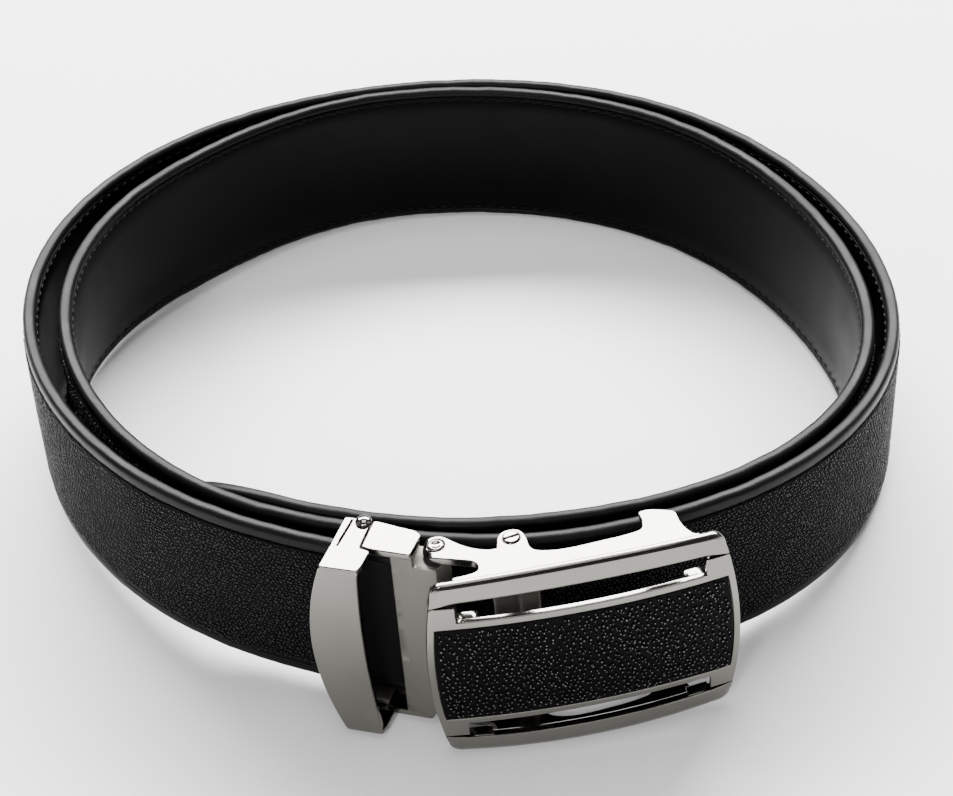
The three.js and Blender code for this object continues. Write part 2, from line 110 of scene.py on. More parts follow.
# Pearls, as shares of their spacing: reach and height from and to, how far they are drawn out, mean
# heading and its spread in radians, and each ring's reach and height.
PEARL_SIDES = 6
PEARL_SINK = 0.03
ROW_SHARE = 0.866
SKIN_SEED = 40
INLAY_SEED = 21
STRAP_PEARL = Sizes(reach=(0.42, 0.56), height=(0.24, 0.36), stretch=0.55, heading=(0.9, 0.7),
                    rings=((1.0, 0.0), (0.48, 0.78)), shake=0.24)
INLAY_PEARL = Sizes(reach=(0.28, 0.42), height=(0.34, 0.46), stretch=0.75, heading=(1.45, 0.35),
                    rings=((1.0, 0.0), (0.78, 0.54), (0.36, 0.91)), shake=0.33)

# The buckle, in the plate's frame: u along, v inward, w up.
PLATE = Sizes(at=(18.5, -79.0, 17.5), yaw=8.8, roll=3.17)
DOME = Sizes(along=168.0, across=134.0)
FACE = Sizes(half_u=29.2, half_w=22.1, end_sag=1 / 170, top_sag=1 / 600, corner=2.6, corner_in=3.0)
SLOT = Sizes(half_u=23.1, inner_w=12.9, outer_w=17.2, rise=0.6)
SLOT_BOSS = Sizes(ends=((-23.0, -18.6), (18.8, 23.0)), height=1.2, front=1.5, rail_back=3.9,
                  panel_back=3.6)
SEAM = Sizes(w=16.3, gap=0.14, rim=0.13)
RAIL = Sizes(thick=2.2, outer_w=18.2, seam_w=16.9, slot_w=18.0, outer_rim=0.9, rim=0.28,
             outer_back=1.15, slot_back=1.0, back=0.25)
FLANGE = Sizes(half_u=22.6, behind=0.98, thick=1.5, ear_u=25, ear_step=0.35, rim=0.22)
FLANGE_REAR = (
    # u and v of the corners of the flange's rear outline, and how far from each its curve starts
    (22.6, 4.9, 0.0), (21.5, 4.9, 1.4), (20.0, 8.0, 3.0), (19.9, 11.7, 1.0), (15.5, 13.2, 3.0),
    (13.1, 12.8, 0.7), (13.4, 10.6, 0.2), (12.9, 8.0, 1.2), (9.0, 7.2, 1.7), (-2.4, 6.3, 4.9),
    (-7.6, 7.8, 1.8), (-7.9, 14.2, 3.0), (-12.5, 14.5, 3.0), (-13.5, 10.2, 0.0),
    (-15.3, 10.4, 3.0), (-18.8, 12.4, 3.0), (-22.7, 17.2, 1.4), (-26.3, 16.9, 1.8),
    (-26.7, 12.3, 3.0), (-17.6, 7.9, 1.5), (-17.5, 5.2, 2.3), (-22.6, 5.2, 0.0),
)
POST = Sizes(low_u=24.2, high_u=26.6, half_w=20.1, front=2.25, back=3.4)
PANEL = Sizes(back=1.9, rim=0.22, seam_w=15.8, floor_back=1.86, floor_out=0.4)
INLAY = Sizes(half_w=11.4, rim=1.3, floor=0.8, front=0.1, back=0.75, pearl_border=0.65)
HINGE = (-23.9, 14.6)
PIN_HOLE_R = 1.62
HINGE_PIN_TOP = 21.15
HINGE_PIN_HEAD = (
    # radius, height above the pin's top
    (1.46, -0.1), (1.42, 0.12), (1.28, 0.24), (1.05, 0.26), (0.75, 0.12), (0.4, 0.02),
)
CATCH = (-10.4, 12.0)
BARREL = Sizes(radius=2.2, short=2.7, blade_short=6.0)
BLADE = (
    # u and v from the catch's pin
    (-0.2, -1.95), (0.4, -2.7), (2.6, -3.4), (3.8, -3.2), (3.8, -1.2), (2.0, 0.9), (1.75, -0.3),
    (1.2, -1.5),
)
WING = (-4.7, -0.4, -2.15, -1.65)  # u from and to, v from and to
CATCH_PIN = Sizes(top=21.95, radius=1.48, end_radius=1.3, chamfer=0.2, head_radius=1.42, head_low=0.4,
                  head_high=0.32, half_disc=78, turn=100)

# Clamp and keeper, in the clamp's frame: a along the strap, b inward, w up.
CLAMP_YAW = -26.8
CLAMP = Sizes(top=22.2, bottom=-20.3, plate_t=1.4, lug_top=18.85, lug_bottom=-18.7, knuckle_r=2.3,
              wall_in=0.5)
CLAMP_CAP = (
    # a and b of the cap's corners
    (-12.85, -4.0), (-10.7, -4.4), (-3.4, -4.5), (-3.05, 1.2), (-4.6, 2.2), (-7.5, 2.5),
    (-10.3, 3.0), (-12.85, 3.3),
)
CLAMP_WALL = (-12.85, -4.2, 0.7, 1.7)
CLAMP_END = (-5.2, -3.9, -4.3, 1.6)
LUG_FRONT = ((-4.6, -4.38), (0.6, -4.38), (1.2, -3.7))
LUG_REAR = ((-4.6, 1.7),)
CLAMP_FACE = Sizes(front=-4.42, back=-3.4, left_foot=-8.5, left_top=-7.4, lug_left=-3.25,
                   lug_right=1.25)
TONGUE = Sizes(top=20.9, top_t=0.85, bottom=-18.6, bottom_t=1.2, box=(-18.0, -12.3, -4.0, 3.4))
KEEPER = Sizes(top=22.3, bottom=-20.0, arm_t=1.1, front_b=-10.6, plate_t=1.4, left=-18.9, right=-11.5,
               left_bulge=4.1, right_bulge=1.0)
KEEPER_ARM = (
    # a and b of the arm's corners behind the front plate
    (-11.1, -9.0), (-10.9, -4.85), (-13.15, -4.45), (-13.15, 3.2), (-18.4, 3.2), (-18.6, -4.7),
)
KEEPER_SLIT = ((-17.45, -4.6), (-17.15, -4.6), (-16.6, 2.6), (-16.9, 2.6))
RIVET = Sizes(at=(-14.5, 2.3), head_r=1.6, head_h=1.0, shank_r=0.7, seat_r=1.45)

# How the belt leans on its lower edge.
REST = Sizes(front_up_deg=1.69, right_up_deg=-1.03)


# Frames

def turned(degrees, axis):
    return Matrix.Rotation(math.radians(degrees), 4, axis)


def level_frame():
    """Level millimetres to the row frame's metres: a small tilt, and the hinge pin on its joint."""
    tilt = turned(-REST.front_up_deg, "X") @ turned(-REST.right_up_deg, "Y")
    joint = next(j for j in frame["joints"] if j["name"] == "plate_swing")
    pin = tilt @ (plate_in_level() @ Vector((*HINGE, 0.0)))
    move = Matrix.Translation(Vector(joint["pos_m"]) - pin * MM)
    return move @ tilt @ Matrix.Scale(MM, 4)


def plate_in_level():
    """The plate's frame in the level one."""
    return Matrix.Translation(Vector(PLATE.at)) @ turned(PLATE.yaw, "Z") @ turned(-PLATE.roll, "Y")


def clamp_in_plate():
    """The clamp's frame in the plate's, about the hinge pin."""
    return Matrix.Translation(Vector((*HINGE, 0.0))) @ turned(CLAMP_YAW, "Z")


LEVEL = np.array(level_frame())
IN_PLATE = np.array(level_frame() @ plate_in_level())
IN_CLAMP = np.array(level_frame() @ plate_in_level() @ clamp_in_plate())


# Meshes

class Shells:
    """The closed shells of one piece, in the millimetres of its own frame."""

    def __init__(self):
        self.points, self.faces, self.marks, self.count = [], [], [], 0

    def add(self, points, faces, marks=0):
        """Adds one shell. faces is a list of index arrays, one row a face, and marks one material
        number, or a list with one or more for each array. Faces are turned so that the shell's
        signed volume is positive."""
        if shell_volume(points, faces) < 0:
            faces = [group[:, ::-1] for group in faces]
        marks = [marks] * len(faces) if np.isscalar(marks) else marks
        for group, mark in zip(faces, marks):
            self.faces.append(group + self.count)
            self.marks.append(np.broadcast_to(mark, len(group)).astype(np.int32))
        self.points.append(points)
        self.count += len(points)


def shell_volume(points, faces):
    """Sum over the faces' triangle fans of corner (a x b) . c, six times the volume."""
    total = 0.0
    for group in faces:
        a = points[group[:, 0]]
        for k in range(1, group.shape[1] - 1):
            total += np.sum(np.cross(a, points[group[:, k]]) * points[group[:, k + 1]])
    return total


def add_object(name, data):
    """A new object of the scene."""
    made = bpy.data.objects.new(name, data)
    bpy.context.scene.collection.objects.link(made)
    return made


def make_piece(to_metres, name, fill, body, slot, replaced, materials, *more):
    """One mesh object, smooth shaded and riding on a body, from the shells that fill adds."""
    shells = Shells()
    fill(shells, *more)
    points = np.concatenate(shells.points) @ to_metres[:3, :3].T + to_metres[:3, 3]
    corners = np.concatenate([g.ravel() for g in shells.faces])
    sizes = np.concatenate([np.full(len(g), g.shape[1]) for g in shells.faces])
    starts = np.concatenate([[0], np.cumsum(sizes)[:-1]])
    mesh = bpy.data.meshes.new(name)
    mesh.vertices.add(len(points))
    mesh.vertices.foreach_set("co", points.astype(np.float32).ravel())
    mesh.loops.add(len(corners))
    mesh.loops.foreach_set("vertex_index", corners.astype(np.int32))
    mesh.polygons.add(len(starts))
    mesh.polygons.foreach_set("loop_start", starts.astype(np.int32))
    mesh.polygons.foreach_set("material_index", np.concatenate(shells.marks))
    for look in materials.split():
        mesh.materials.append(material(look))
    mesh.update(calc_edges=True)
    mesh.validate()
    mesh.shade_smooth()
    piece = add_object(name, mesh)
    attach(piece, body)
    if replaced:
        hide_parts(replaced)


def grid_quads(rows, columns):
    """Faces of a grid of rows by columns points, whose last column joins its first."""
    r, c = np.meshgrid(np.arange(rows - 1), np.arange(columns), indexing="ij")
    r, c = r.ravel(), c.ravel()
    n = (c + 1) % columns
    return np.stack([r * columns + c, r * columns + n, (r + 1) * columns + n, (r + 1) * columns + c], 1)


# Outlines in a plane

def pairs(x, y):
    return np.stack([x, y], 1)


def arc(x, y, radius, first, last, steps):
    """Points on a circle about (x, y), between two angles in degrees."""
    t = np.radians(np.linspace(first, last, steps + 1))
    return pairs(x + radius * np.cos(t), y + radius * np.sin(t))


def circle(centre, radius):
    """A circle of 24 points."""
    return arc(*centre, radius, 0, 345, 23)


def box_loop(a0, a1, b0, b1):
    """An upright rectangle."""
    return np.array([(a0, b0), (a1, b0), (a1, b1), (a0, b1)], float)


def dense(loop, step):
    """The closed loop with each edge cut into equal parts no longer than step."""
    loop = np.asarray(loop, float)
    parts = []
    for a, b in zip(loop, np.roll(loop, -1, axis=0)):
        n = max(1, int(math.ceil(np.linalg.norm(b - a) / step)))
        parts.append(a + (b - a) * (np.arange(n) / n)[:, None])
    return np.concatenate(parts)


def rounded(loop, radius, steps=4):
    """The closed loop with each corner cut by a quadratic curve that starts radius away, or less
    on short edges. radius is one number, or one for each corner."""
    loop = np.asarray(loop, float)
    to_before, to_after = np.roll(loop, 1, axis=0) - loop, np.roll(loop, -1, axis=0) - loop
    ends = []
    for edge in (to_before, to_after):
        length = np.linalg.norm(edge, axis=1)
        ends.append(loop + edge * (np.minimum(radius, 0.48 * length) / length)[:, None])
    t = np.linspace(0, 1, steps + 1)[None, :, None]
    before, corner, after = ends[0][:, None], loop[:, None], ends[1][:, None]
    curve = (1 - t) ** 2 * before + 2 * t * (1 - t) * corner + t ** 2 * after
    return curve.reshape(-1, 2)


def turned_left(loop):
    """The loop in the anticlockwise sense."""
    x, y = loop[:, 0], loop[:, 1]
    area = np.sum(x * np.roll(y, -1) - np.roll(x, -1) * y)
    return loop if area > 0 else loop[::-1]


def cleaned(loop, least=0.02):
    """The loop without points that lie closer than least to the one before."""
    keep = np.linalg.norm(loop - np.roll(loop, 1, axis=0), axis=1) > least
    return loop[keep]


def left_of(edge):
    """The unit vector to the left of each edge."""
    return pairs(-edge[:, 1], edge[:, 0]) / np.linalg.norm(edge, axis=1)[:, None]


def inward_miter(loop):
    """For each point the move that puts both its edges one millimetre to their left."""
    a = left_of(loop - np.roll(loop, 1, axis=0))
    b = left_of(np.roll(loop, -1, axis=0) - loop)
    return (a + b) / np.maximum(1 + np.sum(a * b, 1), 0.5)[:, None]


def inside_loop(points, loop):
    """Whether each point lies inside the loop, by counting the edges that a ray crosses."""
    x, y = points[:, 0][:, None], points[:, 1][:, None]
    x0, y0 = loop[:, 0][None], loop[:, 1][None]
    x1, y1 = np.roll(loop[:, 0], -1)[None], np.roll(loop[:, 1], -1)[None]
    spans = (y0 > y) != (y1 > y)
    rise = np.where(y1 == y0, 1e-12, y1 - y0)
    return np.sum(spans & (x < x0 + (y - y0) * (x1 - x0) / rise), 1) % 2 == 1


def inside(points, loops):
    """Whether each point lies inside the first loop and in none of the others, the holes."""
    solid = inside_loop(points, loops[0])
    for hole in loops[1:]:
        solid &= ~inside_loop(points, hole)
    return solid


def cap_faces(loops, step):
    """The points of a square lattice between the first loop and the others, its holes, and the
    triangles over all the points."""
    edge_points = np.concatenate(loops)
    low, high = edge_points.min(0), edge_points.max(0)
    ticks = [np.arange(a, b, step) for a, b in zip(low, high)]
    lattice = np.stack(np.meshgrid(*ticks), -1).reshape(-1, 2) + step * CAP.shift
    lattice = lattice[inside(lattice, loops)]
    if len(lattice):
        gap = np.linalg.norm(lattice[:, None] - edge_points[None], axis=2).min(1)
        lattice = lattice[gap > CAP.gap * step]
    points = np.concatenate([edge_points, lattice])
    edges, start = [], 0
    for loop in loops:
        n = len(loop)
        edges += [(start + i, start + (i + 1) % n) for i in range(n)]
        start += n
    made = delaunay_2d_cdt([Vector(p) for p in points], edges, [], 0, 1e-6, True)
    if any(not ids for ids in made[3]):
        raise ValueError("an outline crosses itself near " + str(points[made[1][0][0]]))
    source = np.array([ids[0] for ids in made[3]])
    faces = source[np.array(made[2])]
    return lattice, faces[inside(points[faces].mean(1), loops)]


# A rim's profile in shares of its radius: how far inside the loop, how far behind the surface.
ROUND_RIM = [(1 - math.sin(a), 1 - math.cos(a)) for a in np.linspace(0, math.pi / 2, 5)]
BEVEL_RIM = [(1.0, 0.0), (0.95, 0.004), (0.88, 0.02), (0.2, 0.2), (0.12, 0.24), (0.04, 0.36),
             (0.0, 0.6)]
# Where a cap starts inside its rim, in shares of the radius and in mm, and how far its lattice is
# shifted and stays off the outline, in steps.
CAP = Sizes(share=1.15, more=0.03, shift=0.37, gap=0.45)


def rim_radii(rim, loop):
    """The rim's radius at each point of the loop, as a column."""
    return np.broadcast_to(rim(loop) if callable(rim) else rim, len(loop))[:, None]


def slab(shells, loops, low, high, upright=True, rim=0.3, back_rim=None, step=1.5, mark=0,
         profile=ROUND_RIM):
    """A plate seen flat as loops, from the depth low to high, with its rims rounded.

    A depth is a number or a function of the two coordinates, a rim a radius or a function of the
    loop's points. The front rim follows the profile, the back one a quarter circle. upright
    plates have their depth along w, the others along v."""
    back_rim = rim if back_rim is None else back_rim
    loops = [turned_left(cleaned(dense(loop, step))) for loop in loops]
    loops = loops[:1] + [loop[::-1] for loop in loops[1:]]
    flats, blocks, starts = [], [], [0]
    for loop in loops:
        move = inward_miter(loop)
        front, back = rim_radii(rim, loop), rim_radii(back_rim, loop)
        flats.append(loop + move * (front * CAP.share + CAP.more))
        rings = [place(flats[-1], low, 0.0, upright)]
        rings += [place(loop + move * front * inset, low, front[:, 0] * sink, upright)
                  for inset, sink in profile]
        rings += [place(loop + move * back * inset, high, -back[:, 0] * sink, upright)
                  for inset, sink in ROUND_RIM[::-1]]
        flat_back = loop + move * (back * CAP.share + CAP.more)
        rings.append(place(flat_back, high, 0.0, upright))
        blocks.append(np.stack(rings))
        starts.append(starts[-1] + len(rings) * len(loop))
    rows = len(blocks[0])
    walls = [(start, len(loop)) for start, loop in zip(starts, loops)]
    faces = [grid_quads(rows, n) + start for start, n in walls]
    lattice, triangles = cap_faces(flats, step)
    first_ring = np.concatenate([np.arange(n) + start for start, n in walls])
    last_ring = np.concatenate([np.arange(n) + start + (rows - 1) * n for start, n in walls])
    extra = starts[-1] + np.arange(len(lattice))
    front_ids = np.concatenate([first_ring, extra])
    back_ids = np.concatenate([last_ring, len(lattice) + extra])
    points = [block.reshape(-1, 3) for block in blocks]
    points += [place(lattice, low, 0.0, upright), place(lattice, high, 0.0, upright)]
    faces += [front_ids[triangles[:, ::-1]], back_ids[triangles]]
    shells.add(np.concatenate(points), faces, mark)


def place(flat, depth, offset, upright):
    """Points of a plane at a depth: (p, q, depth) upright, else (p, depth, q)."""
    d = depth(flat[:, 0], flat[:, 1]) if callable(depth) else np.full(len(flat), float(depth))
    d = d + offset
    order = (flat[:, 0], flat[:, 1], d) if upright else (flat[:, 0], d, flat[:, 1])
    return np.stack(order, 1)


def lathe(shells, profile, centre, sides=40):
    """Rows of (radius, height) turned about the upright line through centre, which the first and
    the last lie on."""
    profile = np.asarray(profile, float)
    angle = np.linspace(0, 2 * np.pi, sides, endpoint=False)
    body = profile[1:-1]
    x = centre[0] + body[:, :1] * np.cos(angle)
    y = centre[1] + body[:, :1] * np.sin(angle)
    z = np.broadcast_to(body[:, 1:], x.shape)
    ends = np.array([(*centre, profile[0, 1]), (*centre, profile[-1, 1])])
    points = np.concatenate([np.stack([x, y, z], -1).reshape(-1, 3), ends])
    k = np.arange(sides)
    n = (k + 1) % sides
    foot = len(body) * sides
    low_fan = np.stack([n, k, np.full(sides, foot)], 1)
    high_fan = np.stack([foot - sides + k, foot - sides + n, np.full(sides, foot + 1)], 1)
    shells.add(points, [grid_quads(len(body), sides), low_fan, high_fan])


# Strap

def inset_at(turn):
    """Piecewise cubic through the inset rows, with harmonic mean slopes, so it never overshoots."""
    rows = np.array(INSET, float)
    width = np.diff(rows[:, 0])
    slope = np.diff(rows[:, 1]) / width
    product = slope[:-1] * slope[1:]
    total = np.where(product > 0, slope[:-1] + slope[1:], 1.0)
    middle = np.where(product > 0, 2 * product / total, 0.0)
    tangent = np.concatenate([slope[:1], middle, slope[-1:]])
    i = np.clip(np.searchsorted(rows[:, 0], turn, side="right") - 1, 0, len(width) - 1)
    x = np.clip((turn - rows[i, 0]) / width[i], 0, 1)
    h00 = 2 * x ** 3 - 3 * x ** 2 + 1
    h10 = x ** 3 - 2 * x ** 2 + x
    h01 = 3 * x ** 2 - 2 * x ** 3
    h11 = x ** 3 - x ** 2
    return (h00 * rows[i, 1] + h10 * width[i] * tangent[i]
            + h01 * rows[i + 1, 1] + h11 * width[i] * tangent[i + 1])


def coil_table():
    """The middle line by length: turn, x, y and the outward normal, every twentieth degree."""
    turn = np.arange(TURN.first, TURN.last + 0.2 * COIL.step_deg, COIL.step_deg)
    waves = sum(size * np.cos(np.radians(count * turn - phase)) for count, size, phase in BENDS)
    radius = COIL.radius + waves - inset_at(turn)
    angle = -np.radians(turn + COIL.start_deg)
    x = COIL.x + radius * np.cos(angle)
    y = COIL.y + radius * np.sin(angle)
    length = np.concatenate([[0], np.cumsum(np.hypot(np.diff(x), np.diff(y)))])
    dx, dy = np.gradient(x, length), np.gradient(y, length)
    return {"turn": turn, "x": x, "y": y, "nx": -dy, "ny": dx, "length": length}


COIL_TABLE = coil_table()
STRAP_LENGTH = COIL_TABLE["length"][-1] - TIP.short
TIP_START = STRAP_LENGTH - TIP.length
SKIN_END = STRAP_LENGTH - SKIN.short
SKIN_FACE = STRAP_T / 2 + SKIN.proud


def length_at(turn):
    return float(np.interp(turn, COIL_TABLE["turn"], COIL_TABLE["length"]))


def foot_flare(s, h):
    """How far the strap leans outward: cosine bumps along the coil, growing evenly to the foot."""
    turn = np.interp(s, COIL_TABLE["length"], COIL_TABLE["turn"])
    lean = 0.0
    for middle, spread, size in FLARES:
        lean = lean + size * (0.5 + 0.5 * np.cos(np.pi * np.clip((turn - middle) / spread, -1, 1)))
    return lean * np.clip(-h / (STRAP_H / 2), 0, 1)


def on_strap(s, h, out):
    """The level point at length s, h above the middle line and out mm outward of it."""
    out = out + foot_flare(s, h)
    x, y, nx, ny = (np.interp(s, COIL_TABLE["length"], COIL_TABLE[k]) for k in ("x", "y", "nx", "ny"))
    size = np.hypot(nx, ny)
    z = np.broadcast_to(STRAP_H / 2 + h, np.broadcast(s, h, out).shape)
    return np.stack(np.broadcast_arrays(x + out * nx / size, y + out * ny / size, z), -1)


def half_height(s, half, margin=0.0):
    """Half height at length s of a band that ends in a half ellipse, margin mm short of the tip."""
    t = np.clip((s - TIP_START) / (TIP.length - margin), 0, 1)
    return half * np.sqrt(1 - t * t)


def stations(first, last):
    """Lengths along the strap, closer together round the tip."""
    straight_end = min(last, TIP_START)
    straight = np.linspace(first, straight_end, int((straight_end - first) / STRAP_STEP) + 1)
    bend = np.sin(np.linspace(0, np.pi / 2, TIP.rows + 1)[1:])
    return np.concatenate([straight, TIP_START + bend * (last - TIP_START)])


def wander(s, which):
    """A wander along the strap and none at its tip: five sine waves of random phase."""
    seed, size, wavelength = WANDER[which]
    rng = np.random.default_rng(seed)
    total = np.zeros_like(s)
    for k in range(5):
        wave = wavelength * (0.6 + 0.45 * k)
        total += np.sin(2 * np.pi * s / wave + rng.uniform(0, 2 * np.pi))
    return size * total / 5 * (s < TIP_START)


def mirrored_band(shells, s, upper, marks=0, on_middle=True):
    """A closed band along the strap. upper is its section as rows of height and outward distance,
    from the middle line up and round to it again, and is mirrored below. Without on_middle the
    first row is off the middle line and is mirrored too."""
    h, out = (np.stack([np.broadcast_to(row[k], s.shape) for row in upper], 1) for k in (0, 1))
    back = slice(-2, 0 if on_middle else None, -1)
    h = np.concatenate([h, -h[:, back]], 1)
    out = np.concatenate([out, out[:, back]], 1)
    rows, columns = h.shape
    end = np.arange(columns)[None]
    faces = [grid_quads(rows, columns), end[:, ::-1], end + (rows - 1) * columns]
    shells.add(on_strap(s[:, None], h, out).reshape(-1, 3), faces,
               [np.tile(np.broadcast_to(marks, columns), rows - 1), 0, 0])


def strap_core(shells):
    """The strap's body: smooth borders, rounded painted edges, and a recess for skin and lining."""
    s = stations(0.0, STRAP_LENGTH)
    skin = half_height(s, SKIN.half + RECESS.skin_play, RECESS.skin_tip) + wander(s, "skin")
    lining = half_height(s, LINING.half + RECESS.lining_play, RECESS.lining_tip)
    edge = half_height(s, STRAP_H / 2) + wander(s, "edge")
    half = STRAP_T / 2
    round_r = EDGE_R * np.minimum(1, edge / (2 * EDGE_R))
    quarter = np.radians(np.linspace(0, 90, 6))
    border = edge - skin
    rows = [(0, half - RECESS.skin), (skin * 0.97, half - RECESS.skin),
            (skin, half - RECESS.skin_corner), (skin, half - RECESS.lip),
            (skin + border * 0.05, half), (skin + border * 0.35, half + RECESS.swell)]
    turn = [(edge - round_r * (1 - np.sin(a)), half - EDGE_R * (1 - np.cos(a))) for a in quarter]
    rows += turn + [(h, -out) for h, out in turn[::-1]]
    rows += [(lining + 0.05, -half), (lining, -half + RECESS.lip),
             (lining * 0.99, -half + RECESS.lining), (0, -half + RECESS.lining)]
    recess, smooth, painted = 0, 1, 2
    marks = [recess] * 3 + [smooth] * 3 + [painted] * 11 + [smooth] * 2 + [recess] * 2
    mirrored_band(shells, s, rows, marks + marks[::-1])


def skin_band(shells):
    """The skin's leaf: a thin band with a rounded lip along both borders."""
    s = stations(length_at(TURN.skin_first), SKIN_END)
    half = half_height(s, SKIN.half, SKIN.tip) + wander(s, "skin")
    top, floor, lip = SKIN_FACE, STRAP_T / 2 - SKIN.foot, SKIN.lip
    rows = [(half * share, top) for share in (0, 0.25, 0.5, 0.75, 0.9)]
    rows += [(half - lip * 0.7, top - 0.02), (half - lip * 0.2, top - 0.1)]
    rows += [(half, top - lip), (half, floor), (half * 0.5, floor), (0, floor)]
    mirrored_band(shells, s, rows)


def strap_lining(shells):
    """The inner leather: a thin band with a shallow groove along each row of stitches."""
    s = stations(0.0, STRAP_LENGTH - LINING.short)
    half = half_height(s, LINING.half, LINING.tip)
    face, back, lip = -STRAP_T / 2 - LINING.proud, -STRAP_T / 2 + LINING.foot, LINING.lip
    seam = np.maximum(half - STITCH.from_border, 0)
    rows = [(0, back), (half, back), (half, face + lip), (half - lip * 0.6, face + 0.02)]
    rows += [(np.maximum(seam + beside, 0), face + depth) for beside, depth in LINING_GROOVE]
    rows += [(seam * 0.7, face), (seam * 0.35, face), (0, face)]
    mirrored_band(shells, s, rows)


def track_teeth(shells):
    """The toothed strip under the free end: a saw profile along the strap."""
    s = np.arange(length_at(TURN.track_first), length_at(TURN.track_last), TRACK.step)
    rise = TRACK.rise * (1 - ((s - s[0]) / TRACK.tooth) % 1.0)
    foot = -STRAP_T / 2 - TRACK.foot
    face, half = foot - TRACK.body - rise, TRACK.half
    rows = [(half, foot), (half, face + 0.2), (half - 0.25, face), (0, face)]
    mirrored_band(shells, s, rows, on_middle=False)


def stitches(shells):
    """Two rows of stitches, each a spindle that dips into the leather at both ends."""
    count = int((TIP_START - STITCH.start) / STITCH.pitch)
    first = STITCH.start + STITCH.pitch * np.arange(count)
    rng = np.random.default_rng(STITCH.seed)
    sides, rings = STITCH.sides, len(STITCH_RINGS)
    x, share, sink = np.array(STITCH_RINGS).T[:, None, :, None]
    girth = 0.5 * STITCH.thickness * share
    t = 2 * np.pi * np.arange(sides) / sides
    base = (np.arange(count) * sides * rings)[:, None, None]
    cap = np.arange(sides)[None]
    faces = [(base + part[None]).reshape(-1, part.shape[1])
             for part in (grid_quads(rings, sides), cap[:, ::-1], cap + (rings - 1) * sides)]
    for sign in (1, -1):
        row = sign * (LINING.half - STITCH.from_border) + rng.normal(0, STITCH.shake, count)
        slant = rng.normal(*STITCH.slant, count)
        s = first[:, None, None] + x * STITCH.length + 0 * t
        h = row[:, None, None] + slant[:, None, None] * x + girth * np.cos(t)
        out = -STRAP_T / 2 - STITCH.seat + sink + girth * np.sin(t) + 0 * h
        shells.add(on_strap(s, h, out).reshape(-1, 3), faces)


# Pearls

def pearl_lattice(p0, p1, q0, q1, pitch, seed, shake):
    """The centres of a shaken hexagonal lattice over a rectangle, bent by a slow wave."""
    rng = np.random.default_rng(seed)
    rows = np.arange(int((q1 - q0) / (pitch * ROW_SHARE)))
    columns = np.arange(math.ceil(p0 / pitch), math.ceil(p1 / pitch))
    r, c = np.meshgrid(rows, columns, indexing="ij")
    p = (c + 0.25 + 0.5 * (r % 2)) * pitch
    q = q0 + (r + 0.5) * pitch * ROW_SHARE
    wave = 0.45 * pitch * np.sin(p / (3.1 * pitch) + 1.7 * np.sin(q / (4.3 * pitch)))
    centres = np.stack([p + wave, q + 0.3 * wave], -1).reshape(-1, 2)
    return centres + rng.uniform(-shake, shake, centres.shape) * pitch


def pearls(shells, centres, pitch, fine, seed, shape, surface):
    """Low closed domes: each an ellipse of random size and heading, with a ring at the foot, more
    above it where fine, and a point on top. surface turns a place and a height above the surface
    into a point."""
    rng = np.random.default_rng(seed)
    n, sides = len(centres), PEARL_SIDES
    long_r = pitch * rng.uniform(*shape.reach, n)
    short_r = long_r * (1 - shape.stretch * rng.uniform(0.0, 0.75, n))
    heading = rng.normal(*shape.heading, n)[:, None]
    cos, sin = np.cos(heading), np.sin(heading)
    height = pitch * rng.uniform(*shape.height, n)
    t = 2 * np.pi * np.arange(sides) / sides
    rings = shape.rings if fine else shape.rings[:1]
    parts = []
    for reach, lift in rings:
        a = reach * long_r[:, None] * np.cos(t)
        b = reach * short_r[:, None] * np.sin(t)
        p = centres[:, :1] + a * cos - b * sin
        q = centres[:, 1:] + a * sin + b * cos
        parts.append(np.stack([p, q, np.broadcast_to(lift * height[:, None], p.shape)], -1))
    top = np.concatenate([centres, height[:, None]], 1)[:, None]
    local = np.concatenate(parts + [top], 1)
    size = local.shape[1]
    base = (np.arange(n) * size)[:, None, None]
    k = np.arange(sides)
    nxt = (k + 1) % sides
    last = sides * (len(rings) - 1)
    fan = np.stack([last + k, last + nxt, np.full(sides, size - 1)], 1)
    floor = np.array([(0, k + 1, k) for k in range(sides - 2, 0, -1)])
    wall = np.stack([k, nxt, sides + nxt, sides + k], 1)
    parts = [fan, floor] + [wall + ring * sides for ring in range(len(rings) - 1)]
    faces = [(base + part[None]).reshape(-1, part.shape[1]) for part in parts]
    # The top fan of each pearl takes the second material: a lighter tip, a painted highlight.
    tip = 1
    shells.add(surface(*local.reshape(-1, 3).T), faces, [tip] + [0] * (len(faces) - 1))


def on_skin(s, h, rise):
    return on_strap(s, h, SKIN_FACE - PEARL_SINK + rise)


def skin_pearls(shells, first, last, share, fine, seed):
    """The pearls on the skin between two turns."""
    half, pitch = SKIN.half, share * settings().strap_pearl
    first, last = length_at(first), length_at(last)
    centres = pearl_lattice(first, last, -half, half, pitch, seed, STRAP_PEARL.shake)
    room = half_height(centres[:, 0], half, SKIN.tip) - 0.5 * pitch
    centres = centres[(np.abs(centres[:, 1]) < room) & (centres[:, 0] < SKIN_END - SKIN.bare_end)]
    pearls(shells, centres, pitch, fine, seed + 1, STRAP_PEARL, on_skin)


# Buckle plate

def dome(u, w):
    """Depth of the buckle's face: two parabolas, along and across."""
    return u * u / (2 * DOME.along) + w * w / (2 * DOME.across)


def bend(u, w):
    """Depth of a back that is bent along only."""
    return u * u / (2 * DOME.along) + 0.0 * w


def behind(surface, depth):
    """The surface moved back by a depth."""
    def moved(u, w):
        return surface(u, w) + depth
    return moved


def face_top(u):
    """Height of the face's outline: a bowed edge with round corners."""
    cu, cw = face_corner()
    r = FACE.corner
    x = np.clip(np.abs(u) - cu, 0, r)
    return np.where(np.abs(u) <= cu, FACE.half_w - FACE.top_sag * u * u, cw + np.sqrt(r * r - x * x))


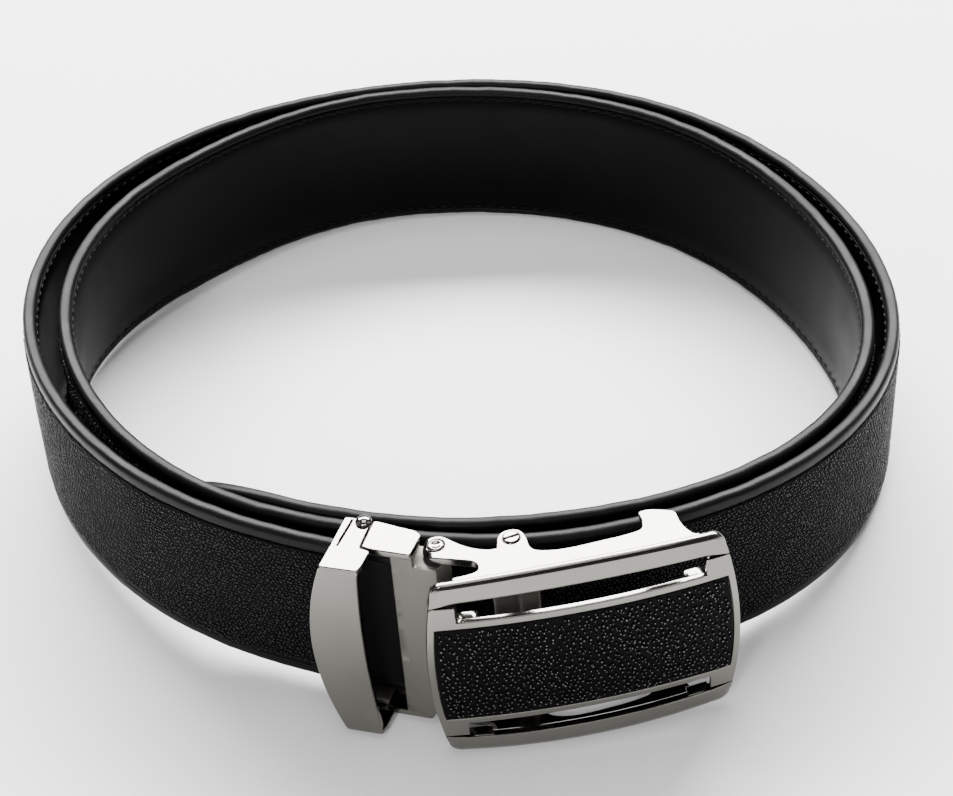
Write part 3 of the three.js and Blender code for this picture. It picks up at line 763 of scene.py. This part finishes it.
def face_corner():
    """Centre of the face's round corners."""
    w = FACE.half_w - FACE.top_sag * (FACE.half_u - FACE.corner_in) ** 2
    cu = face_end(w) - FACE.corner
    return cu, FACE.half_w - FACE.top_sag * cu * cu - FACE.corner


def face_end(w):
    """Reach of the face's bowed end at a height."""
    return FACE.half_u - FACE.end_sag * w * w


def end_curve(w0, w1, side, steps):
    """The face's end from height w0 to w1, its corners included."""
    cw, r = face_corner()[1], FACE.corner
    w = np.linspace(w0, w1, steps + 1)
    past = np.maximum(np.abs(w) - cw, 0)
    corner_u = face_end(cw) - r + np.sqrt(np.maximum(r ** 2 - past ** 2, 0))
    return pairs(side * np.where(past > 0, corner_u, face_end(w)), w)


def rail_loop(sign):
    """A rail from the front: bowed outer edge, round corners, and the slot's arc inside."""
    cw, r = face_corner()[1], FACE.corner
    x = np.linspace(-1, 1, 41)
    slot = pairs(x * SLOT.half_u, SLOT.outer_w + SLOT.rise * (1 - x * x))
    right = end_curve(SEAM.w + SEAM.gap / 2, cw, 1, 4)
    corner = arc(face_end(cw) - r, cw, r, 0, 90, 8)[1:]
    u = np.linspace(corner[-1, 0], -corner[-1, 0], 61)[1:-1]
    top = pairs(u, FACE.half_w - FACE.top_sag * u * u)
    outer = np.concatenate([right, corner])
    return np.concatenate([slot, outer, top, outer[::-1] * (-1, 1)]) * (1, sign)


def rail_front_rim(p):
    """Rim radii along a rail: small at the seam, large along the outer edge."""
    u, w = np.abs(p).T
    at_seam = (w < RAIL.seam_w) & (u > SLOT.half_u + 0.3)
    return np.where(at_seam, SEAM.rim, np.where(w > RAIL.outer_w, RAIL.outer_rim, RAIL.rim))


def rail_back_rim(p):
    """Rim radii behind a rail: large along its outer edge and along the slot."""
    u, w = np.abs(p).T
    at_slot = (w < RAIL.slot_w) & (u < SLOT.half_u - 1.0)
    inner = np.where(at_slot, RAIL.slot_back, RAIL.back)
    return np.where(w > RAIL.outer_w, RAIL.outer_back, inner)


def flange_loop():
    """The flange from above: its rear outline, and a front edge just behind the face's rim."""
    u = np.linspace(-FLANGE.half_u, FLANGE.half_u, 40)
    front = pairs(u, dome(u, face_top(u)) + FLANGE.behind)
    rows = np.array(FLANGE_REAR)
    return np.concatenate([front, rounded(rows[:, :2], rows[:, 2], 5)])


def flange_levels(sign):
    """The lower and the upper face of a flange; sign is 1 at the top."""
    def outer(u, v):
        return sign * face_top(u)

    def inner(u, v):
        step = FLANGE.ear_step * (np.abs(u) > FLANGE.ear_u)
        return sign * (FACE.half_w - FLANGE.thick - FACE.top_sag * u * u - step)
    return (inner, outer) if sign > 0 else (outer, inner)


def slot_bosses(shells, w, back):
    """Two small bosses behind a slot's edge, which is at height w."""
    for low_u, high_u in SLOT_BOSS.ends:
        boss = box_loop(low_u, high_u, w - SLOT_BOSS.height, w)
        slab(shells, [boss], behind(bend, SLOT_BOSS.front), behind(bend, back), upright=False,
             rim=0.1, back_rim=0.15)


def frame_shells(shells):
    """Rails, flanges, bosses and end posts of the buckle's frame."""
    holes = [circle(HINGE, PIN_HOLE_R), circle(CATCH, PIN_HOLE_R)]
    for sign in (1, -1):
        slab(shells, [rail_loop(sign)], dome, behind(dome, RAIL.thick), upright=False,
             rim=rail_front_rim, back_rim=rail_back_rim, step=1.2, profile=BEVEL_RIM)
        low, high = flange_levels(sign)
        slab(shells, [flange_loop()] + holes, low, high, rim=FLANGE.rim, step=1.2)
    slot_bosses(shells, -SLOT.outer_w, SLOT_BOSS.rail_back)
    for side in (1, -1):
        post = box_loop(POST.low_u, POST.high_u, -POST.half_w, POST.half_w) * (side, 1)
        slab(shells, [post], behind(bend, POST.front), behind(bend, POST.back), upright=False,
             rim=0.25, step=2.0)


def panel_loop():
    """The centre panel from the front: bowed ends, and a tab to the seam at each corner."""
    seam, u, w = SEAM.w - SEAM.gap / 2, SLOT.half_u, SLOT.inner_w
    top = np.array([(u, seam), (u, w), (-u, w), (-u, seam)])
    return np.concatenate([end_curve(-seam, seam, 1, 30), top, end_curve(seam, -seam, -1, 30), -top])


def panel_rim(p):
    """Rim radii of the panel: small at the seam's tabs."""
    u, w = np.abs(p).T
    at_seam = (w > PANEL.seam_w) & (u > SLOT.half_u - 0.1)
    return np.where(at_seam, SEAM.rim, PANEL.rim)


def inlay_loop(inset):
    """The inlay's window, inset mm in: straight sides, and ends that follow the face's."""
    half = INLAY.half_w - inset
    w = np.linspace(-half, half, 25)
    u = face_end(w) - INLAY.rim - inset
    return np.concatenate([pairs(u, w), pairs(-u, w)[::-1]])


def panel_shells(shells):
    """The centre panel: a rim round the inlay's window, bosses, and a floor behind the inlay."""
    window = [panel_loop(), inlay_loop(0.0)]
    slab(shells, window, dome, behind(bend, PANEL.back), upright=False, rim=panel_rim,
         back_rim=0.2, step=1.2)
    slot_bosses(shells, SLOT.inner_w, SLOT_BOSS.panel_back)
    slab(shells, [inlay_loop(-PANEL.floor_out)], behind(dome, INLAY.floor),
         behind(bend, PANEL.floor_back), upright=False, rim=0.05, step=2.5)


def on_inlay(u, w, rise):
    return np.stack([u, dome(u, w) + INLAY.front + PEARL_SINK - rise, w], 1)


def inlay_shells(shells):
    """The inlay: a domed leaf in the window, and its pearls."""
    pitch, half, border = settings().inlay_pearl, INLAY.half_w, INLAY.pearl_border
    leaf = 2
    slab(shells, [inlay_loop(0.1)], behind(dome, INLAY.front), behind(dome, INLAY.back),
         upright=False, rim=0.25, back_rim=0.05, mark=leaf)
    reach = FACE.half_u - INLAY.rim
    centres = pearl_lattice(-reach, reach, -half, half, pitch, INLAY_SEED, INLAY_PEARL.shake)
    room = face_end(centres[:, 1]) - INLAY.rim - border
    centres = centres[(np.abs(centres[:, 0]) < room) & (np.abs(centres[:, 1]) < half - border)]
    pearls(shells, centres, pitch, True, INLAY_SEED + 1, INLAY_PEARL, on_inlay)


def catch_shells(shells):
    """The spring catch: a barrel on its pin, a short toothed blade and a thin wing beside it."""
    half = FACE.half_w - BARREL.short
    blade_half = half - BARREL.blade_short
    barrel = [circle(CATCH, BARREL.radius), circle(CATCH, PIN_HOLE_R)]
    slab(shells, barrel, -half, half, rim=0.12, step=1.2)
    for loop, rim in ((np.array(BLADE), 0.08), (box_loop(*WING), 0.12)):
        slab(shells, [loop + CATCH], -blade_half, blade_half, rim=rim, step=1.0)


def hinge_pin_shells(shells):
    """The hinge pin: a straight pin with a dished, rounded head at both ends."""
    top = HINGE_PIN_TOP
    head = [(radius, top + above) for radius, above in HINGE_PIN_HEAD]
    lathe(shells, [(0, -top)] + [(r, -z) for r, z in head[::-1]] + head + [(0, top)], HINGE)


def catch_pin_shells(shells):
    """The catch's pin: a core, and at each end a slotted head made of two half discs."""
    pin = CATCH_PIN
    top, shoulder = pin.top, pin.top - pin.chamfer
    lathe(shells, [(0, -top), (pin.end_radius, -top), (pin.radius, -shoulder),
                   (pin.radius, shoulder), (pin.end_radius, top), (0, top)], CATCH)
    angle = math.radians(pin.turn)
    c, s = math.cos(angle), math.sin(angle)
    head = (top - pin.head_low, top + pin.head_high)
    for low, high in (head, (-head[1], -head[0])):
        for side in (0, 180):
            half_disc = arc(0, 0, pin.head_radius, side - pin.half_disc, side + pin.half_disc, 10)
            loop = half_disc @ np.array([[c, s], [-s, c]]) + CATCH
            slab(shells, [loop], low, high, rim=0.1, step=0.8)


# Clamp and keeper

def clamp_shells(shells):
    """The clamp on the strap's end: two caps, front and rear walls, lug with knuckle, tongues."""
    top, bottom, thick, inner = CLAMP.top, CLAMP.bottom, CLAMP.plate_t, CLAMP.wall_in
    lug_low, lug_high = CLAMP.lug_bottom, CLAMP.lug_top
    cap, cap_look = rounded(CLAMP_CAP, 0.6), 1
    for low in (top - thick, bottom):
        slab(shells, [cap], low, low + thick, rim=0.22, mark=cap_look)
    for wall, rim in ((CLAMP_WALL, 0.15), (CLAMP_END, 0.05)):
        slab(shells, [box_loop(*wall)], bottom + inner, top - inner, rim=rim, step=2.0)
    side = CLAMP_FACE
    face = [(side.left_foot, bottom + 0.3), (-3.6, bottom + 0.3), (-3.0, lug_low),
            (side.lug_right, lug_low + 0.3), (side.lug_right, lug_high), (side.lug_left, lug_high),
            (side.lug_left, top - 0.6), (side.left_top, top - 0.6)]
    slab(shells, [rounded(face, 0.5)], side.front, side.back, upright=False, rim=0.22)
    lug = np.concatenate([LUG_FRONT, arc(0, 0, CLAMP.knuckle_r, -20, 110, 10), LUG_REAR])
    slab(shells, [lug], lug_low, lug_high, rim=0.2, step=1.0)
    tongue = [box_loop(*TONGUE.box)]
    slab(shells, tongue, TONGUE.top - TONGUE.top_t, TONGUE.top, rim=0.15, step=2.0)
    slab(shells, tongue, TONGUE.bottom, TONGUE.bottom + TONGUE.bottom_t, rim=0.15, step=2.0)


def keeper_front_loop():
    """The keeper's front: both edges bulge to the left, the left one more."""
    top, bottom = KEEPER.top - 0.25, KEEPER.bottom + 0.25
    x = np.linspace(-1, 1, 33)
    middle, half = (top + bottom) / 2, (top - bottom) / 2
    left = pairs(KEEPER.left - KEEPER.left_bulge * (1 - x * x), middle + x * half)
    right = pairs(KEEPER.right - KEEPER.right_bulge * (1 - x * x), middle - x * half)
    return np.concatenate([left, right])


def keeper_shells(shells):
    """The keeper: a front plate and two arms, the upper one slit where its ends meet."""
    front, thick = KEEPER.front_b, KEEPER.arm_t
    slab(shells, [keeper_front_loop()], front, front + KEEPER.plate_t, upright=False, rim=0.35,
         back_rim=0.25)
    arm = [(KEEPER.left, front + 0.05), (KEEPER.right, front + 0.05), *KEEPER_ARM]
    arm, slit = rounded(arm, 0.6), np.array(KEEPER_SLIT)
    slab(shells, [arm, slit], KEEPER.top - thick, KEEPER.top, rim=0.2)
    slab(shells, [arm], KEEPER.bottom, KEEPER.bottom + thick, rim=0.2)


def rivet_shells(shells, side):
    """A rivet with a domed head, above with side 1 or below with side -1."""
    if side > 0:
        seat, foot = KEEPER.top, TONGUE.top - TONGUE.top_t
    else:
        seat, foot = -KEEPER.bottom, -TONGUE.bottom - TONGUE.bottom_t
    rise = seat + 0.1
    t = np.radians(np.linspace(0, 85, 8))
    profile = [(0, foot), (RIVET.shank_r, foot), (RIVET.shank_r, seat + 0.05),
               (RIVET.seat_r, seat + 0.05)]
    profile += [(RIVET.head_r * math.cos(a), rise + RIVET.head_h * math.sin(a)) for a in t]
    profile += [(0, rise + RIVET.head_h)]
    lathe(shells, [(r, side * z) for r, z in profile], RIVET.at, 32)


# Materials: each name says what it is, and the comment above it what that gives the eye.

LEATHERS = {
    # Columns: dark and light colour, roughness, grain and its depth in mm, gloss, mottle in mm.
    # Edge paint, burnished: smooth and round, so it carries a soft line of light.
    "edge_paint": ("#080809", "#101011", 0.42, 0.7, 0.07, 0.085, 14.0),
    # Cow leather, dyed through and waxed: near black with a dull shine.
    "border_leather": ("#030303", "#050505", 0.36, 0.5, 0.03, 0.09, 14.0),
    # Its unwaxed ground beside skin and lining: matt.
    "recess_leather": ("#030303", "#050505", 0.7, 0.6, 0.03, 0.1, 14.0),
    # Stingray skin between its pearls: matt black, which sets the pearls off.
    "skin_ground": ("#020202", "#040404", 0.6, 0.35, 0.02, 0.05, 14.0),
    # Stingray pearls, dyed and glazed: hard beads with small sharp lights.
    "stingray": ("#020202", None, 0.2, 0.35, 0.008, 0.13, 14.0),
    # Pearl tips painted a lighter grey as a highlight, each a little different.
    "worn_pearl_tip": ("#040404", "#1e1e1f", 0.3, 0.35, 0.008, 0.2, 2.2),
    # Pearl tips on the inlay painted as pale dots of uneven brightness: painted highlights.
    "polished_pearl_tip": ("#080808", "#8a8a8a", 0.25, 0.35, 0.005, 0.3, 1.2),
    # Lining leather, pressed and waxed: even black with a wide soft sheen.
    "lining_leather": ("#020203", "#040405", 0.34, 0.45, 0.015, 0.045, 14.0),
    # Waxed thread: dull, a little lighter than the leather.
    "thread": ("#060606", "#0d0d0d", 0.5, 0.2, 0.05, 0.1, 14.0),
    # Moulded nylon: dull and dark.
    "track_plastic": ("#060606", "#0a0a0a", 0.5, 0.4, 0.02, 0.3, 14.0),
}
METALS = {
    # Columns: dark and light colour, roughness, spacing and depth of the scratches in mm.
    # Nickel plated zinc, buffed: a warm grey mirror, slightly blurred.
    "nickel": (None, "#75736e", 0.15, 0.12, 0.002),
    # The same plating on a tumbled casting: it spreads the light and shows no clear picture.
    "satin_nickel": (None, "#73716c", 0.56, 0.15, 0.003),
    # Turned and polished pins: bright points of light.
    "polished_nickel": ("#7a7873", "#86837e", 0.07, 0.2, 0.001),
}


def linear(hex_colour):
    """An sRGB hex colour as linear red, green, blue and alpha."""
    values = [int(hex_colour[i:i + 2], 16) / 255 for i in (1, 3, 5)]
    return [v / 12.92 if v <= 0.04045 else ((v + 0.055) / 1.055) ** 2.4 for v in values] + [1.0]


def node(tree, kind, inputs=None, **options):
    """Adds a node with its options. An input is a value, or an output socket to link from."""
    made = tree.nodes.new(kind)
    for key, value in options.items():
        setattr(made, key, value)
    for key, value in (inputs or {}).items():
        socket = made.inputs[key]
        if isinstance(value, bpy.types.NodeSocket):
            tree.links.new(value, socket)
        else:
            socket.default_value = value
    return made


def start_material(name):
    """An empty material, its node tree and the socket of the object's coordinates."""
    made = bpy.data.materials.new(name)
    made.use_nodes = True
    made.node_tree.nodes.clear()
    return made, made.node_tree, node(made.node_tree, "ShaderNodeTexCoord").outputs["Object"]


def finish_material(tree, inputs):
    shader = node(tree, "ShaderNodeBsdfPrincipled", inputs)
    node(tree, "ShaderNodeOutputMaterial", {"Surface": shader.outputs[0]})


def noise(tree, place_of, grain_mm, detail=3.0):
    """Noise whose blotches are about grain_mm across."""
    inputs = {"Vector": place_of, "Scale": 1 / (grain_mm * MM), "Detail": detail}
    return node(tree, "ShaderNodeTexNoise", inputs).outputs["Fac"]


def between(tree, factor, low, high):
    """factor from 0.3 to 0.7 spread over low to high."""
    inputs = {"Value": factor, "From Min": 0.3, "From Max": 0.7, "To Min": low, "To Max": high}
    return node(tree, "ShaderNodeMapRange", inputs).outputs["Result"]


def bump(tree, height, strength, depth_mm, **more):
    """A normal bent by a height; more is the normal that it starts from."""
    inputs = {"Height": height, "Strength": strength, "Distance": depth_mm * MM, **more}
    return node(tree, "ShaderNodeBump", inputs).outputs["Normal"]


def tint(tree, factor, dark, light):
    """A colour between two hex colours."""
    inputs = {"Factor": factor, "A": linear(dark), "B": linear(light)}
    return node(tree, "ShaderNodeMix", inputs, data_type="RGBA").outputs["Result"]


def leather_material(name, dark, light, rough, grain_mm, depth_mm, gloss, mottle_mm):
    """Finished leather or the like: hair cells grain_mm apart and depth_mm deep, and colour and
    roughness that change over mottle_mm."""
    made, tree, place_of = start_material(name)
    fine = noise(tree, place_of, grain_mm)
    broad = noise(tree, place_of, mottle_mm)
    finish_material(tree, {
        "Base Color": tint(tree, broad, dark, light), "Normal": bump(tree, fine, 0.6, depth_mm),
        "Roughness": between(tree, broad, rough - 0.05, rough + 0.06), "Specular IOR Level": gloss})
    return made


def metal_material(name, dark, light, rough, grain_mm, depth_mm):
    """Nickel plating: full metal with faint scratches, and a slow unevenness that bends what it
    mirrors."""
    made, tree, place_of = start_material(name)
    fine = noise(tree, place_of, grain_mm, 2.0)
    broad = noise(tree, place_of, 9.0, 1.0)
    slow = bump(tree, broad, 0.5, 0.02)
    finish_material(tree, {
        "Base Color": tint(tree, broad, dark, light), "Metallic": 1.0,
        "Roughness": between(tree, fine, rough - 0.03, rough + 0.05),
        "Normal": bump(tree, fine, 0.35, depth_mm, Normal=slow)})
    return made


@cache
def material(name):
    """A material of the belt, made when it is first asked for."""
    if name in METALS:
        dark, *rest = METALS[name]
        return metal_material(name, dark or settings().nickel, *rest)
    dark, light, *rest = LEATHERS[name]
    return leather_material(name, dark, light or settings().leather, *rest)


# Settings that a user would change

class BeltSettings(bpy.types.PropertyGroup):
    """Sizes and colours of the belt."""

    strap_pearl: bpy.props.FloatProperty(
        name="Strap pearl spacing", description="Distance between the strap's pearls in millimetres",
        default=0.85, min=0.8, max=2.0)
    inlay_pearl: bpy.props.FloatProperty(
        name="Inlay pearl spacing", description="Distance between the inlay's pearls in millimetres",
        default=1.12, min=0.8, max=2.0)
    leather: bpy.props.StringProperty(
        name="Leather", description="sRGB hex colour of the black leather", default="#060607")
    nickel: bpy.props.StringProperty(
        name="Nickel", description="sRGB hex colour of the polished nickel", default="#6b6964")


def settings():
    return bpy.context.scene.belt_settings


# Pieces and their operators

FRAMES = {"plate": IN_PLATE, "pins": IN_PLATE, "clamp": IN_CLAMP}  # the others are level
PIECES = {
    # name, what adds its shells, body, slot, replaced node, materials, and what the adder takes
    "strap": [
        ("strap_leather", strap_core, "belt", "edge_leather", "strap_body",
         "recess_leather border_leather edge_paint")],
    "skin": [
        ("skin_leaf", skin_band, "belt", "stingray", "stingray_skin", "skin_ground")],
    "lining": [
        ("lining", strap_lining, "belt", "lining_leather", "strap_lining", "lining_leather"),
        ("lining_stitches", stitches, "belt", "lining_leather", None, "thread"),
        ("track_teeth", track_teeth, "belt", "track_plastic", "ratchet_track", "track_plastic")],
    "plate": [
        ("frame_metal", frame_shells, "plate", "nickel", "buckle_frame", "nickel"),
        ("panel_metal", panel_shells, "plate", "nickel", "centre_panel", "nickel"),
        ("inlay_skin", inlay_shells, "plate", "stingray", "stingray_inlay",
         "stingray polished_pearl_tip skin_ground")],
    "pins": [
        ("catch_metal", catch_shells, "catch", "satin_nickel", "pawl", "satin_nickel"),
        ("hinge_pin_metal", hinge_pin_shells, "belt", "polished_nickel", "hinge_pin", "polished_nickel"),
        ("catch_pin_metal", catch_pin_shells, "plate", "polished_nickel", "pawl_pin", "polished_nickel")],
    "clamp": [
        ("clamp_metal", clamp_shells, "belt", "satin_nickel", "clamp_body", "satin_nickel nickel"),
        ("keeper_metal", keeper_shells, "belt", "nickel", "keeper", "nickel"),
        ("rivet_top", rivet_shells, "belt", "polished_nickel", "keeper_pin_top", "polished_nickel", 1),
        ("rivet_bottom", rivet_shells, "belt", "polished_nickel", "keeper_pin_bottom", "polished_nickel",
         -1)],
}
PEARL_FIELDS = (
    # name, first turn, last turn, spacing as a share of the set one, whether its pearls are fine
    ("pearls_front_left", TURN.skin_first, 90.0, 1.0, True),
    ("pearls_back", 90.0, 185.0, 1.0, True),
    ("pearls_right", 185.0, 280.0, 1.0, True),
    ("pearls_front_right", 280.0, 372.0, 1.0, True),
    ("pearls_inner_turn", 372.0, TURN.last, 1.4, False),
)
for order, (name, *field) in enumerate(PEARL_FIELDS):
    PIECES["skin"].append((name, skin_pearls, "belt", "stingray", None, "stingray worn_pearl_tip",
                           *field, SKIN_SEED + 2 * order))


def make_pieces(group):
    for row in PIECES[group]:
        make_piece(FRAMES.get(group, LEVEL), *row)


class BELT_OT_strap(bpy.types.Operator):
    """Makes the strap's body with its borders and painted edges"""

    bl_idname = "belt.make_strap"
    bl_label = "Strap body"

    def execute(self, context):
        make_pieces("strap")
        return {"FINISHED"}


class BELT_OT_skin(bpy.types.Operator):
    """Makes the strap's stingray skin with its pearls"""

    bl_idname = "belt.make_skin"
    bl_label = "Stingray skin"

    def execute(self, context):
        make_pieces("skin")
        return {"FINISHED"}


class BELT_OT_lining(bpy.types.Operator):
    """Makes the lining, its stitches and the toothed track"""

    bl_idname = "belt.make_lining"
    bl_label = "Lining and stitches"

    def execute(self, context):
        make_pieces("lining")
        return {"FINISHED"}


class BELT_OT_plate(bpy.types.Operator):
    """Makes the buckle's frame, centre panel and inlay"""

    bl_idname = "belt.make_plate"
    bl_label = "Buckle plate"

    def execute(self, context):
        make_pieces("plate")
        return {"FINISHED"}


class BELT_OT_pins(bpy.types.Operator):
    """Makes the catch and the two pins of the buckle"""

    bl_idname = "belt.make_pins"
    bl_label = "Catch and pins"

    def execute(self, context):
        make_pieces("pins")
        return {"FINISHED"}


class BELT_OT_clamp(bpy.types.Operator):
    """Makes the clamp, the keeper and its rivets"""

    bl_idname = "belt.make_clamp"
    bl_label = "Clamp and keeper"

    def execute(self, context):
        make_pieces("clamp")
        return {"FINISHED"}


# Stage, in metres, and the photograph's camera in the belt's level millimetres

FLOOR_SIZE = 6.0
LIGHTS = (
    # name, place, width and height, watts; all face the origin
    ("back_softbox", (0.0, 0.95, 0.85), (1.7, 0.45), 128.0),
    ("top_softbox", (0.0, 0.1, 1.3), (0.7, 0.7), 8.0),
    ("front_softbox", (0.0, -0.95, 0.85), (1.3, 0.5), 7.0),
    ("key_light", (-0.35, -1.0, 0.62), (0.14, 0.14), 5.0),
    ("left_softbox", (-0.9, -0.1, 0.7), (0.8, 0.8), 1.0),
    ("right_softbox", (0.9, -0.1, 0.7), (0.8, 0.8), 1.5),
)
WORLD = Sizes(colour="#dadcdf", strength=0.1)
CAMERA = Sizes(at=(0.0, -377.2, 310.4), down_deg=37.83, roll_deg=-2.42, focal_px=2276.0,
               image_px=953.0, sensor_mm=36.0)


def floor_material():
    """Matt painted board: pale, even, with a faint mottle."""
    made, tree, place_of = start_material("floor_board")
    shade = tint(tree, noise(tree, place_of, 60.0), "#f0f0f0", "#f4f4f4")
    finish_material(tree, {"Base Color": shade, "Roughness": 0.9, "Specular IOR Level": 0.1})
    return made


def make_floor():
    half = FLOOR_SIZE / 2
    mesh = bpy.data.meshes.new("floor")
    corners = [(-half, -half, 0), (half, -half, 0), (half, half, 0), (-half, half, 0)]
    mesh.from_pydata(corners, [], [(0, 1, 2, 3)])
    mesh.materials.append(floor_material())
    add_object("floor", mesh)


def make_light(name, at, size, watts):
    data = bpy.data.lights.new(name, "AREA")
    data.shape = "RECTANGLE"
    data.size, data.size_y = size
    data.energy = watts
    lamp = add_object(name, data)
    lamp.location = at
    lamp.rotation_euler = (-Vector(at)).to_track_quat("-Z", "Y").to_euler()
    lamp.visible_camera = False


def make_camera():
    """The photograph's camera: turned down from the level, then rolled about its own axis."""
    turn = turned(90 - CAMERA.down_deg, "X") @ turned(CAMERA.roll_deg, "Z")
    data = bpy.data.cameras.new("camera")
    data.sensor_width = CAMERA.sensor_mm
    data.lens = CAMERA.focal_px * CAMERA.sensor_mm / CAMERA.image_px
    data.clip_start, data.clip_end = 0.01, 50.0
    camera = add_object("camera", data)
    in_level = Matrix.Translation(Vector(CAMERA.at)) @ turn @ Matrix.Scale(1 / MM, 4)
    camera.matrix_world = level_frame() @ in_level
    bpy.context.scene.camera = camera


def make_world():
    world = bpy.data.worlds.new("studio")
    world.use_nodes = True
    background = world.node_tree.nodes["Background"]
    background.inputs["Color"].default_value = linear(WORLD.colour)
    background.inputs["Strength"].default_value = WORLD.strength
    bpy.context.scene.world = world


class BELT_OT_stage(bpy.types.Operator):
    """Makes the floor, the lights and the camera"""

    bl_idname = "belt.make_stage"
    bl_label = "Stage"

    def execute(self, context):
        make_floor()
        for row in LIGHTS:
            make_light(*row)
        make_world()
        make_camera()
        return {"FINISHED"}


class BELT_PT_panel(bpy.types.Panel):
    """Lists the belt's pieces"""

    bl_label = "Belt"
    bl_idname = "BELT_PT_panel"
    bl_space_type = "VIEW_3D"
    bl_region_type = "UI"
    bl_category = "Belt"

    def draw(self, context):
        for name in BeltSettings.__annotations__:
            self.layout.prop(context.scene.belt_settings, name)
        for operator in OPERATORS:
            self.layout.operator(operator.bl_idname)


OPERATORS = (BELT_OT_stage, BELT_OT_strap, BELT_OT_skin, BELT_OT_lining, BELT_OT_plate, BELT_OT_pins,
             BELT_OT_clamp)
CLASSES = (BeltSettings, *OPERATORS, BELT_PT_panel)


def register():
    for cls in CLASSES:
        bpy.utils.register_class(cls)
    bpy.types.Scene.belt_settings = bpy.props.PointerProperty(type=BeltSettings)


def unregister():
    del bpy.types.Scene.belt_settings
    for cls in reversed(CLASSES):
        bpy.utils.unregister_class(cls)


def main():
    register()
    for operator in OPERATORS:
        group, name = operator.bl_idname.split(".")
        getattr(getattr(bpy.ops, group), name)()


if __name__ == "__main__":
    main()
